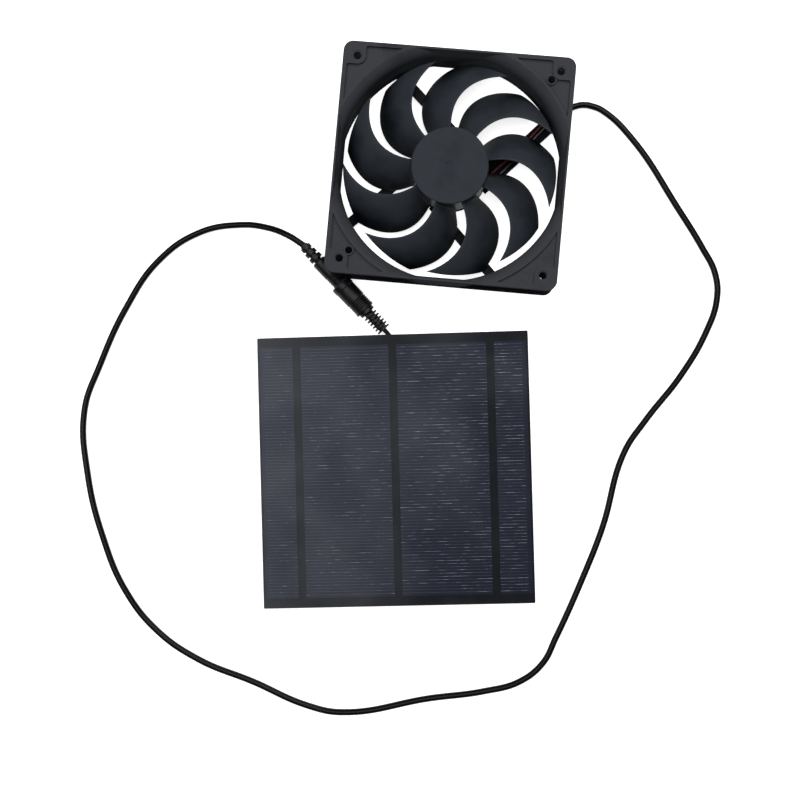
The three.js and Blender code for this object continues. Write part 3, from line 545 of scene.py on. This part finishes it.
def lofted(loops, name="lofted", place=None):
    """A solid through loops of the same number of points, closed by flat ends."""
    bm = bmesh.new()
    rows = [[bm.verts.new(point) for point in loop] for loop in loops]
    count = len(rows[0])
    for lower, upper in zip(rows, rows[1:]):
        for i in range(count):
            j = (i + 1) % count
            bm.faces.new((lower[i], lower[j], upper[j], upper[i]))
    bm.faces.new(rows[0])
    bm.faces.new(rows[-1])
    return solid(mesh_from(bm, name, place))


def prism(outline, bottom, top, place=None):
    """An outline of (x, y) points raised from bottom to top."""
    return lofted([[(x, y, z) for x, y in outline] for z in (bottom, top)], "prism", place)


def arc(x, y, radius, start, end, steps):
    """Points of an arc, in degrees."""
    angles = [math.radians(start + (end - start) * i / steps) for i in range(steps + 1)]
    return [(x + radius * math.cos(a), y + radius * math.sin(a)) for a in angles]


def rounded_rect(width, depth, radius):
    """A rectangle's outline with round corners."""
    steps = 8
    x, y = width / 2 - radius, depth / 2 - radius
    corners = [(x, y, 0), (-x, y, 90), (-x, -y, 180), (x, -y, 270)]
    return [p for cx, cy, start in corners for p in arc(cx, cy, radius, start, start + 90, steps)]


def plate(width, depth, radius, bottom, top):
    """A flat plate with round corners."""
    return prism(rounded_rect(width, depth, radius), bottom, top)


def soft_plate(width, depth, radius, bottom, top, edge):
    """A flat plate with round corners and rounded upper and lower edges."""
    loops = []
    steps = 4
    for i in range(steps + 1):
        a = math.pi / 2 * i / steps
        inset, rise = edge * (1 - math.sin(a)), edge * (1 - math.cos(a))
        outline = rounded_rect(width - 2 * inset, depth - 2 * inset, max(radius - inset, 0.0001))
        loops.append((outline, rise))
    under = [[(x, y, bottom + rise) for x, y in outline] for outline, rise in loops]
    over = [[(x, y, top - rise) for x, y in outline] for outline, rise in reversed(loops)]
    return lofted(under + over, "soft_plate")


def turn_about_z(degrees):
    """A rotation about the fan axis."""
    return Matrix.Rotation(math.radians(degrees), 4, "Z")


def bar(strut, start, end, bottom, top):
    """A bar that runs outwards at an angle and passes the axis at an offset to its right."""
    angle, offset, width = strut
    low, high = -offset - width / 2, -offset + width / 2
    outline = [(start, low), (end, low), (end, high), (start, high)]
    return prism(outline, bottom, top, turn_about_z(angle))


# ---------------------------------------------------------------- camera and light
def make_camera():
    """Above the set and looking almost straight down on it, from a tabletop picture's distance."""
    camera = bpy.data.objects.new("camera", bpy.data.cameras.new("camera"))
    bpy.context.scene.collection.objects.link(camera)
    camera.data.sensor_width = CAMERA_SENSOR
    camera.data.lens = CAMERA_LENS
    camera.location = CAMERA_PLACE
    camera.rotation_euler = CAMERA_TURN
    bpy.context.scene.camera = camera


def make_light():
    """A soft white studio: a faint dome, one wide lamp above and two smaller ones beside it."""
    scene = bpy.context.scene
    scene.view_settings.view_transform = "Standard"
    world = bpy.data.worlds.new("studio")
    world.use_nodes = True
    dome = world.node_tree.nodes["Background"]
    dome.inputs["Color"].default_value = (0.94, 0.97, 1, 1)
    dome.inputs["Strength"].default_value = WORLD_STRENGTH
    scene.world = world
    for name, place, size, power in LAMPS:
        lamp = bpy.data.objects.new(name, bpy.data.lights.new(name, "AREA"))
        lamp.data.shape = "SQUARE"
        lamp.data.size = size
        lamp.data.energy = power
        lamp.location = place
        aim = PANEL_CENTRE * 0.5 - lamp.location
        lamp.rotation_euler = aim.to_track_quat("-Z", "Y").to_euler()
        scene.collection.objects.link(lamp)


def make_floor():
    """A plain pale floor that gives off some light of its own."""
    corners = [(-FLOOR_HALF, -FLOOR_HALF), (FLOOR_HALF, -FLOOR_HALF),
               (FLOOR_HALF, FLOOR_HALF), (-FLOOR_HALF, FLOOR_HALF)]
    bm = bmesh.new()
    bm.faces.new([bm.verts.new((x, y, 0)) for x, y in corners])
    floor = solid(mesh_from(bm, "floor"))
    floor.location.z = -FLOOR_DROP
    material, surface = shader("pale_floor", (0.9, 0.9, 0.9), 0.9, shine=0.0)
    surface.inputs["Emission Color"].default_value = (1, 1, 1, 1)
    surface.inputs["Emission Strength"].default_value = FLOOR_GLOW
    floor.data.materials.append(material)


# ---------------------------------------------------------------- cords
def cord_curve(name, route, radius, material):
    """A round cord: one smooth open spline through the route's points."""
    curve = bpy.data.curves.new(name, "CURVE")
    curve.dimensions = "3D"
    curve.bevel_depth = radius
    curve.bevel_resolution = 6
    curve.use_fill_caps = True
    curve.resolution_u = 12
    spline = curve.splines.new("BEZIER")
    spline.bezier_points.add(len(route) - 1)
    for point, place in zip(spline.bezier_points, route):
        point.co = place
        point.handle_left_type = "AUTO"
        point.handle_right_type = "AUTO"
    curve.materials.append(material)
    obj = bpy.data.objects.new(name, curve)
    bpy.context.scene.collection.objects.link(obj)
    return obj


def make_cords():
    """The fan's free lead and the panel's short lead."""
    lead = cord_curve("fan_lead_cord", CABLE_ROUTE, CABLE_R, LOOKS["pvc_black"])
    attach(lead, FAN)
    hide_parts("fan_lead")
    pigtail = cord_curve("pigtail_cord", PIGTAIL_ROUTE, PIGTAIL_R, LOOKS["pvc_black"])
    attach(pigtail, PANEL)
    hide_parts("pigtail_cable")
    return lead, pigtail


# ---------------------------------------------------------------- fan frame
def duct_bore():
    """The duct's inner space: a flared rear mouth, a round throat and a bell at the front,
    cut off by four flats where the duct is wider than the frame."""
    profile = [(0, -OVER), (REAR_MOUTH_R + 0.0004, -OVER), (REAR_MOUTH_R, 0), (THROAT_R, REAR_FLARE)]
    steps = 10
    bell_end = math.radians(50)
    for i in range(steps + 1):
        a = bell_end * i / steps
        out = (1 - math.cos(a)) / (1 - math.cos(bell_end))
        up = math.sin(a) / math.sin(bell_end)
        profile.append((THROAT_R + (FRONT_MOUTH_R - THROAT_R) * out,
                        BELL_START_Z + (FRAME_DEPTH - BELL_START_Z) * up))
    profile += [(FRONT_MOUTH_R, FRAME_DEPTH + OVER), (0, FRAME_DEPTH + OVER)]
    bore = turned(profile, ROUND_STEPS)
    heights = [(REAR_FLAT, -OVER), (REAR_FLAT, BELL_START_Z),
               (FRONT_FLAT, FRAME_DEPTH), (FRONT_FLAT, FRAME_DEPTH + OVER)]
    loops = [[(x * half, y * half, z) for x, y in ((1, 1), (-1, 1), (-1, -1), (1, -1))]
             for half, z in heights]
    return combined(bore, lofted(loops), "INTERSECT")


def housing():
    """The two flanges and the round duct between them, bored through."""
    body = plate(FRAME_SIZE, FRAME_SIZE, FRAME_CORNER_R, FRAME_DEPTH - FRONT_FLANGE, FRAME_DEPTH)
    body = combined(body, plate(FRAME_SIZE, FRAME_SIZE, FRAME_CORNER_R, 0, REAR_FLANGE), "UNION")
    duct = disc(DUCT_OUTER_R, REAR_FLANGE / 2, FRAME_DEPTH - FRONT_FLANGE / 2, ROUND_STEPS)
    side = FRAME_SIZE - 0.00004
    duct = combined(duct, plate(side, side, FRAME_CORNER_R, 0, FRAME_DEPTH), "INTERSECT")
    body = combined(body, duct, "UNION")
    return combined(body, duct_bore(), "DIFFERENCE")


def corner_pocket(turn):
    """The shallow recess in the front flange between the duct and a screw pad."""
    start = math.degrees(math.acos(POCKET_EDGE / POCKET_INNER_R))
    pad = HOLE_OFFSET - PAD_R
    outline = arc(0, 0, POCKET_INNER_R, 90 - start, start, 24)
    outline += [(POCKET_EDGE, pad), (HOLE_OFFSET, pad)]
    outline += arc(HOLE_OFFSET, HOLE_OFFSET, PAD_R, 270, 180, 12)[1:]
    outline += [(pad, POCKET_EDGE)]
    middle = ((outline[0][0] + outline[-1][0]) / 2, (outline[0][1] + outline[-1][1]) / 2)
    outline = eased([middle] + outline + [middle], 0.0012, 4)[:-1]
    return prism(outline, FRAME_DEPTH - POCKET_DEPTH, FRAME_DEPTH + OVER, turn)


def cut_corners(body):
    """Pockets, screw holes with their seats, the two small holes, and the ejector marks."""
    for corner in range(4):
        turn = turn_about_z(90 * corner)
        spot = turn @ Matrix.Translation((HOLE_OFFSET, HOLE_OFFSET, 0))
        body = combined(body, corner_pocket(turn), "DIFFERENCE")
        seat = disc(HOLE_R + 0.0007, FRAME_DEPTH - 0.0003, FRAME_DEPTH + OVER, 48, spot)
        body = combined(body, seat, "DIFFERENCE")
        body = combined(body, disc(HOLE_R, -OVER, FRAME_DEPTH + OVER, 48, spot), "DIFFERENCE")
    pocket_floor = FRAME_DEPTH - POCKET_DEPTH
    for side in (-1, 1):
        spot = Matrix.Translation((side * SMALL_HOLE_OFFSET, side * SMALL_HOLE_OFFSET, 0))
        boss = disc(SMALL_HOLE_R + 0.0008, pocket_floor - 0.0005, FRAME_DEPTH - 0.0004, 48, spot)
        body = combined(body, boss, "UNION")
        body = combined(body, disc(SMALL_HOLE_R, -OVER, FRAME_DEPTH + OVER, 48, spot), "DIFFERENCE")
    for side in (-1, 1):
        for x, y in EJECTOR_MARKS:
            mark = ring(0.0025, 0.0023, pocket_floor - 0.00012, pocket_floor + OVER, 48,
                        Matrix.Translation((side * x, y, 0)))
            body = combined(body, mark, "DIFFERENCE")
    return body


def motor_base():
    """The motor's base plate and tube, the struts, and the web beside the wire channel."""
    foot = 0.00005
    root, reach = 0.007, 0.058
    motor = disc(BASE_R, 0, BASE_T, 96)
    motor = combined(motor, disc(BASE_R - 0.0016, -OVER, 0.00015, 96), "DIFFERENCE")
    for strut in STRUTS:
        motor = combined(motor, bar(strut, root, reach, foot, REAR_FLANGE - foot), "UNION")
    motor = combined(motor, bar(CHANNEL, root, reach - OVER, foot, REAR_FLANGE - foot), "UNION")
    motor = combined(motor, prism(WEB, foot * 2, REAR_FLANGE - foot * 2), "UNION")
    motor = combined(motor, disc(TUBE_BORE_R, TUBE_FLOOR, REAR_FLANGE + OVER, 48), "DIFFERENCE")
    cup = turned([(0, TUBE_FLOOR / 2), (TUBE_OUTER_R, TUBE_FLOOR / 2), (TUBE_OUTER_R, TUBE_TOP),
                  (TUBE_BORE_R, TUBE_TOP), (TUBE_BORE_R, TUBE_FLOOR), (0, TUBE_FLOOR)], 48)
    return combined(motor, cup, "UNION")


def cut_wire_way(body):
    """The open channel along one strut, and the groove where the lead leaves the frame."""
    angle, offset, width = CHANNEL
    inner = (angle, offset, width - 2 * CHANNEL_WALL)
    start, end = 0.005, 0.057
    trough = bar(inner, start, end, CHANNEL_FLOOR, REAR_FLANGE + OVER)
    body = combined(body, trough, "DIFFERENCE")
    groove_floor, groove_top, half_width = 0.0004, REAR_FLANGE + 0.0008, 0.0025
    outline = [(-0.016, -half_width), (0.002, -half_width), (0.002, half_width), (-0.016, half_width)]
    stand = Matrix.Translation((EXIT.x, EXIT.y, 0)) @ Matrix.Rotation(EXIT_TURN, 4, "Z")
    return combined(body, prism(outline, groove_floor, groove_top, stand), "DIFFERENCE")


def make_fan_frame():
    """Housing, flanges, duct, struts and motor base in one moulding."""
    body = cut_corners(housing())
    body = combined(body, motor_base(), "UNION")
    body = cut_wire_way(body)
    eased_edges(body, 0.0003)
    piece("frame_moulding", body, LOOKS["frame_black"], FAN, "frame_black", "fan_frame")


# ---------------------------------------------------------------- impeller
def edge_angle(edge, r):
    """Where one edge of a blade lies at a radius, as an angle in degrees."""
    root_angle, start, reach, power = edge
    return root_angle - BLADE_SWEEP * max(0, (r - start) / reach) ** power


def blade_point(chord, span):
    """A point of a blade's middle surface; chord and span run from 0 to 1."""
    r = BLADE_ROOT_R + (BLADE_TIP_R - BLADE_ROOT_R) * span
    angle = math.radians(edge_angle(LEADING_EDGE, r) * (1 - chord) + edge_angle(TRAILING_EDGE, r) * chord)
    leading_z = LEADING_Z - LEADING_FALL * (r - HUB_R)
    trailing_z = TRAILING_Z + TRAILING_RISE * (r - HUB_R)
    z = leading_z * (1 - chord) + trailing_z * chord + BLADE_CAMBER * 4 * chord * (1 - chord)
    return Vector((r * math.cos(angle), r * math.sin(angle), z))


def blade_thickness(chord, span):
    """Full in the middle, thin at both edges, rounded at the rim and flared at the root."""
    body = BLADE_T * (0.35 + 0.65 * math.sin(math.pi * (0.12 + 0.8 * chord)))
    edge = math.sqrt(max(0, 1 - abs(2 * chord - 1) ** 24))
    past_rim = max(0, span - BLADE_RIM_START) / (1 - BLADE_RIM_START)
    rim = math.sqrt(max(0.02, 1 - past_rim ** 2))
    from_hub = max(0, BLADE_ROOT_R + (BLADE_TIP_R - BLADE_ROOT_R) * span - HUB_R)
    flare = 0.0016 * math.exp(-from_hub / 0.0007)
    return max(0.00004, (body + flare) * edge * rim)


def make_blade(turn):
    """One swept blade, lofted outwards from loops round its section."""
    chord_steps, span_steps = 28, 40
    chords = [0.5 - 0.5 * math.cos(math.pi * i / chord_steps) for i in range(chord_steps + 1)]
    at_root, at_rim = [0.008, 0.016, 0.032, 0.04], [BLADE_RIM_START, 0.992, 0.996, 0.999, 1]
    spans = sorted(set(at_root + [i / span_steps for i in range(span_steps)] + at_rim))
    step = 0.004
    loops = []
    for span in spans:
        upper, lower = [], []
        for chord in chords:
            along = blade_point(chord + step, span) - blade_point(chord - step, span)
            outward = blade_point(chord, span + step) - blade_point(chord, span - step)
            normal = along.cross(outward).normalized()
            half = normal * blade_thickness(chord, span) / 2
            upper.append(blade_point(chord, span) + half)
            lower.append(blade_point(chord, span) - half)
        loops.append(upper + lower[::-1])
    return lofted(loops, "blade", turn)


def joined(objects):
    """Several separate solids as one object."""
    bm = bmesh.new()
    for obj in objects:
        bm.from_mesh(obj.data)
        bpy.data.objects.remove(obj)
    return solid(mesh_from(bm, "joined"))


def make_impeller():
    """The hub cap, with a small dimple and three pin marks in its middle, and its swept blades."""
    inner, ceiling = HUB_R - HUB_WALL, HUB_TOP - HUB_WALL
    dimple_r = 0.0021
    dimple_z = HUB_TOP - 0.0004
    skirt = [(0, ceiling), (inner, ceiling), (inner, HUB_BOTTOM), (HUB_R, HUB_BOTTOM), (HUB_R, HUB_TOP)]
    shoulder = [(HUB_R, HUB_BOTTOM), (HUB_R, HUB_TOP), (dimple_r, HUB_TOP)]
    dimple = [(HUB_R, HUB_TOP), (dimple_r, HUB_TOP), (dimple_r, dimple_z), (0, dimple_z)]
    profile = eased(skirt, 0.0003)[:-1] + eased(shoulder, 0.0008, 6)[1:-1] + eased(dimple, 0.00012)[1:]
    hub = turned(profile, ROUND_STEPS)
    pin_ring, pin_r, pins = 0.0009, 0.00028, 3
    for i in range(pins):
        angle = math.radians(360 / pins * i + 30)
        spot = Matrix.Translation((pin_ring * math.cos(angle), pin_ring * math.sin(angle), 0))
        hub = combined(hub, disc(pin_r, dimple_z - 0.0002, HUB_TOP, 16, spot), "DIFFERENCE")
    blades = joined([make_blade(turn_about_z(360 / BLADES * i)) for i in range(BLADES)])
    body = combined(hub, blades, "UNION")
    piece("impeller_moulding", body, LOOKS["impeller_black"], ROTOR, "impeller_black", "impeller", sharp=40)


# ---------------------------------------------------------------- connector
def connector_place():
    """Z along the connector, from the plug towards the panel."""
    direction = Vector((math.cos(CONNECTOR_SLOPE) * math.cos(CONNECTOR_HEADING),
                        math.cos(CONNECTOR_SLOPE) * math.sin(CONNECTOR_HEADING),
                        -math.sin(CONNECTOR_SLOPE)))
    turn = Vector((0, 0, 1)).rotation_difference(direction).to_matrix().to_4x4()
    back = Matrix.Translation((0, 0, -CONNECTOR_STATION))
    return Matrix.Translation(CONNECTOR) @ turn @ back


def make_plug():
    """The fan lead's plug: its strain relief and grip, around the metal barrel."""
    place = connector_place()
    core, fin_share = 0.0022, 0.68
    start, end = PLUG_RELIEF
    profile = [(0, start), (core, start)]
    for i, radius in enumerate(PLUG_FIN_RADII):
        low = PLUG_FINS_START + i * PLUG_FIN_PITCH
        high = low + PLUG_FIN_PITCH * fin_share
        profile += [(core, low), (radius, low), (radius, high), (core, high)]
    profile += [(core, end), (0, end)]
    fins = piece("plug_relief", turned(eased(profile, 0.0003), 48, place), LOOKS["rubber_black"], FAN,
                 "rubber_black", "plug_strain_relief")

    body_r, groove_r, mouth, floor = 0.004, 0.0037, 0.00285, 0.0188
    start, end = PLUG_GRIP
    profile = [(0, start), (0.0033, start), (body_r, start + 0.0007), (body_r, 0.0166)]
    for i in range(GRIP_RINGS):
        low = 0.0168 + i * GRIP_PITCH
        profile += [(groove_r, low), (groove_r, low + 0.0005), (body_r, low + 0.0007), (body_r, low + 0.001)]
    profile += [(body_r, end), (mouth, end), (mouth, floor), (0, floor)]
    body = piece("plug_grip", turned(eased(profile, 0.00018, 2), 64, place), LOOKS["rubber_black"], FAN,
                 "rubber_black", "plug_body")
    return [fins, body, nodes["plug_barrel"], nodes["plug_insulator"]]


def open_relief(place):
    """The socket's strain relief: a collar, then thin rings held by bridges on alternate sides."""
    start, end = SOCKET_FINS
    rings, core, collar_r = 6, 0.0015, 0.0043
    base = SOCKET_END - 0.0001
    collar = [(0, base), (collar_r, base), (collar_r, 0.0445), (core, 0.0448), (core, end), (0, end)]
    body = turned(eased(collar, 0.0003), 48)
    pitch = (end - start) / (rings - 0.45)
    root = core - 0.0004
    for i in range(rings):
        low = start + i * pitch
        high = low + 0.5 * pitch
        radius = 0.0040 - 0.00002 * i
        fin = eased([(root, low), (radius, low), (radius, high), (root, high)], 0.00016)
        body = combined(body, turned(fin, 48), "UNION")
    half_width, reach = 0.0008, 0.0027
    outline = [(-half_width, -reach), (half_width, -reach), (half_width, reach), (-half_width, reach)]
    for i in range(rings):
        low = start + (i - 0.6) * pitch
        bridge = prism(outline, low, low + 0.8 * pitch, turn_about_z(90 * (i % 2)))
        body = combined(body, bridge, "UNION")
    body.data.transform(place)
    return body


def make_socket():
    """The panel lead's socket: a collar, ring grips, and the open strain relief."""
    place = connector_place()
    bore, pin, pin_hole_end = 0.0031, 0.00105, SOCKET_FLOOR + 0.0019
    collar_r, body_r, groove_r = 0.0058, 0.0055, 0.0051
    profile = [(0, pin_hole_end), (pin, pin_hole_end), (pin, SOCKET_FLOOR), (bore, SOCKET_FLOOR),
               (bore, SOCKET_START), (0.0053, SOCKET_START), (collar_r, SOCKET_START + 0.0005),
               (collar_r, 0.0265), (body_r, 0.0268), (body_r, 0.0352)]
    for i in range(GRIP_RINGS):
        low = 0.0356 + i * GRIP_PITCH
        profile += [(groove_r, low), (groove_r, low + 0.0004), (body_r, low + 0.0006), (body_r, low + 0.001)]
    profile += [(0.0054, SOCKET_END), (0, SOCKET_END)]
    body = piece("socket_grip", turned(eased(profile, 0.0002, 2), 64, place), LOOKS["rubber_black"], PANEL,
                 "rubber_black", "socket_body")
    fins = piece("socket_relief", open_relief(place), LOOKS["rubber_black"], PANEL, "rubber_black",
                 "socket_strain_relief")
    return [body, fins, nodes["socket_contact_sleeve"], nodes["socket_centre_pin"]]


def make_lead_sleeve():
    """The soft sleeve that holds the lead in the frame's side."""
    lift = Vector((0, 0, 0.0001))
    place = (Matrix.Translation(EXIT + lift) @ Matrix.Rotation(EXIT_TURN, 4, "Z")
             @ Matrix.Rotation(math.pi / 2, 4, "Y"))
    start, end, flange_r, neck_r = -0.0098, -0.0014, 0.0023, 0.00205
    profile = [(0, start), (flange_r, start), (flange_r, -0.0084), (neck_r, -0.008), (neck_r, -0.004),
               (0.00185, end), (0, end)]
    piece("sleeve", turned(eased(profile, 0.0002), 32, place), LOOKS["rubber_black"], FAN, "rubber_black",
          "lead_sleeve")


# ---------------------------------------------------------------- solar panel
def panel_place():
    """The panel's middle, with its edges turned to the fan's by a few degrees."""
    return Matrix.Translation((PANEL_CENTRE.x, PANEL_CENTRE.y, 0)) @ Matrix.Rotation(PANEL_TURN, 4, "Z")


def make_fingers():
    """Thin silver lines across each column of cells."""
    pitch, half_width, height = 0.00166, 0.00009, 0.00003
    left_margin, right_margin = 0.0016, 0.0022
    edges = [-CELL_EDGE]
    for x in RIBBON_X:
        edges += [x - RIBBON_HALF - CELL_GAP, x + RIBBON_HALF + CELL_GAP]
    edges.append(CELL_EDGE)
    edges[0] += left_margin
    edges[-1] -= right_margin
    lines = int(2 * CELL_HALF_HEIGHT / pitch)
    for column in range(len(edges) // 2):
        left, right = edges[2 * column], edges[2 * column + 1]
        bm = bmesh.new()
        for i in range(lines):
            y = (i - (lines - 1) / 2) * pitch
            block = bmesh.ops.create_cube(bm, size=1)["verts"]
            bmesh.ops.scale(bm, verts=block, vec=(right - left, 2 * half_width, height))
            bmesh.ops.translate(bm, verts=block, vec=((left + right) / 2, y, CELL_TOP + height / 2))
        lines_object = solid(mesh_from(bm, "fingers", panel_place()))
        piece(f"cell_fingers_{column + 1}", lines_object, LOOKS["silver"], PANEL, "silicon_blue")


def box_screw(spot, turn):
    """A cross-headed screw that stands head down."""
    head_bottom, head_top, head_r, shank_r = 0.0002, 0.0008, 0.0019, 0.0009
    profile = [(0, head_bottom), (head_r, head_bottom), (head_r, head_top), (shank_r, head_top),
               (shank_r, 0.0046), (0, 0.0051)]
    screw = turned(eased(profile, 0.00015), 32, spot)
    reach, half_width, slot_top = 0.0012, 0.0002, 0.0006
    outline = [(-reach, -half_width), (reach, -half_width), (reach, half_width), (-reach, half_width)]
    for quarter in (0, 90):
        slot = prism(outline, 0, slot_top, spot @ turn_about_z(quarter + turn))
        screw = combined(screw, slot, "DIFFERENCE")
    return screw


def make_junction_box():
    """The box under the panel: shell, lid and screws."""
    place = panel_place()
    lid_top, bottom, top, wall, corner = 0.0014, 0.0015, 0.0068, 0.0015, 0.003
    thread_r, boss_r, seat_r = 0.001, 0.0026, 0.002
    shell = soft_plate(BOX_WIDTH, BOX_DEPTH, corner, bottom, top, 0.0003)
    inside = plate(BOX_WIDTH - 2 * wall, BOX_DEPTH - 2 * wall, corner - wall, bottom - OVER, top - 0.001)
    shell = combined(shell, inside, "DIFFERENCE")
    lid = soft_plate(BOX_WIDTH, BOX_DEPTH, corner, 0, lid_top, 0.0004)
    for i, (sx, sy) in enumerate(((1, 1), (-1, 1), (-1, -1), (1, -1))):
        spot = Matrix.Translation((sx * BOX_SCREW_X, sy * BOX_SCREW_Y, 0))
        shell = combined(shell, disc(boss_r, bottom, top - 0.0008, 32, spot), "UNION")
        shell = combined(shell, disc(thread_r, bottom - OVER, 0.0054, 24, spot), "DIFFERENCE")
        lid = combined(lid, disc(seat_r, -OVER, 0.0009, 32, spot), "DIFFERENCE")
        lid = combined(lid, disc(thread_r, 0, lid_top + OVER, 24, spot), "DIFFERENCE")
        screw = box_screw(spot, 20 * i)
        screw.data.transform(place)
        piece(f"lid_screw_{i + 1}", screw, LOOKS["zinc_screw"], PANEL, "zinc_screw", f"box_screw_{i + 1}")
    outlet = disc(0.0017, BOX_DEPTH / 2 - wall - 0.0005, BOX_DEPTH / 2 + OVER, 32, GLAND_STAND)
    shell = combined(shell, outlet, "DIFFERENCE")
    shell.data.transform(place)
    lid.data.transform(place)
    eased_edges(lid, 0.0001, 1)
    piece("box_shell", shell, LOOKS["board_black"], PANEL, "board_black", "junction_box_shell")
    piece("box_lid", lid, LOOKS["board_black"], PANEL, "board_black", "junction_box_lid")


def make_gland():
    """The gland where the short lead enters the box."""
    half = BOX_DEPTH / 2
    neck_r, flange_r = 0.0016, 0.0025
    start, face, end = half - 0.0031, half + 0.0002, half + 0.0043
    profile = [(0, start), (neck_r, start), (neck_r, face), (flange_r, face),
               (flange_r, half + 0.0018), (0.0017, end), (0, end)]
    gland = turned(eased(profile, 0.0003), 32, panel_place() @ GLAND_STAND)
    piece("gland", gland, LOOKS["rubber_black"], PANEL, "rubber_black", "cable_gland")


# ---------------------------------------------------------------- CAD nodes that stay
def dress_cad_nodes():
    """Gives every CAD node that stays its procedural material."""
    slots = {row["node"]: row["material_slot"] for row in frame["record"]["subparts"]}
    for name, obj in nodes.items():
        slot = slots[name]
        if slot == "copper":
            slot = "copper_X" if name in ("coil_1", "coil_3") else "copper_Y"
        obj.data.materials.clear()
        obj.data.materials.append(LOOKS[slot])


make_camera()
lead_cord, pigtail_cord = make_cords()
dress_cad_nodes()
make_plug()
make_socket()
make_lead_sleeve()
make_fan_frame()
make_impeller()
make_fingers()
make_junction_box()
make_gland()
make_light()
make_floor()
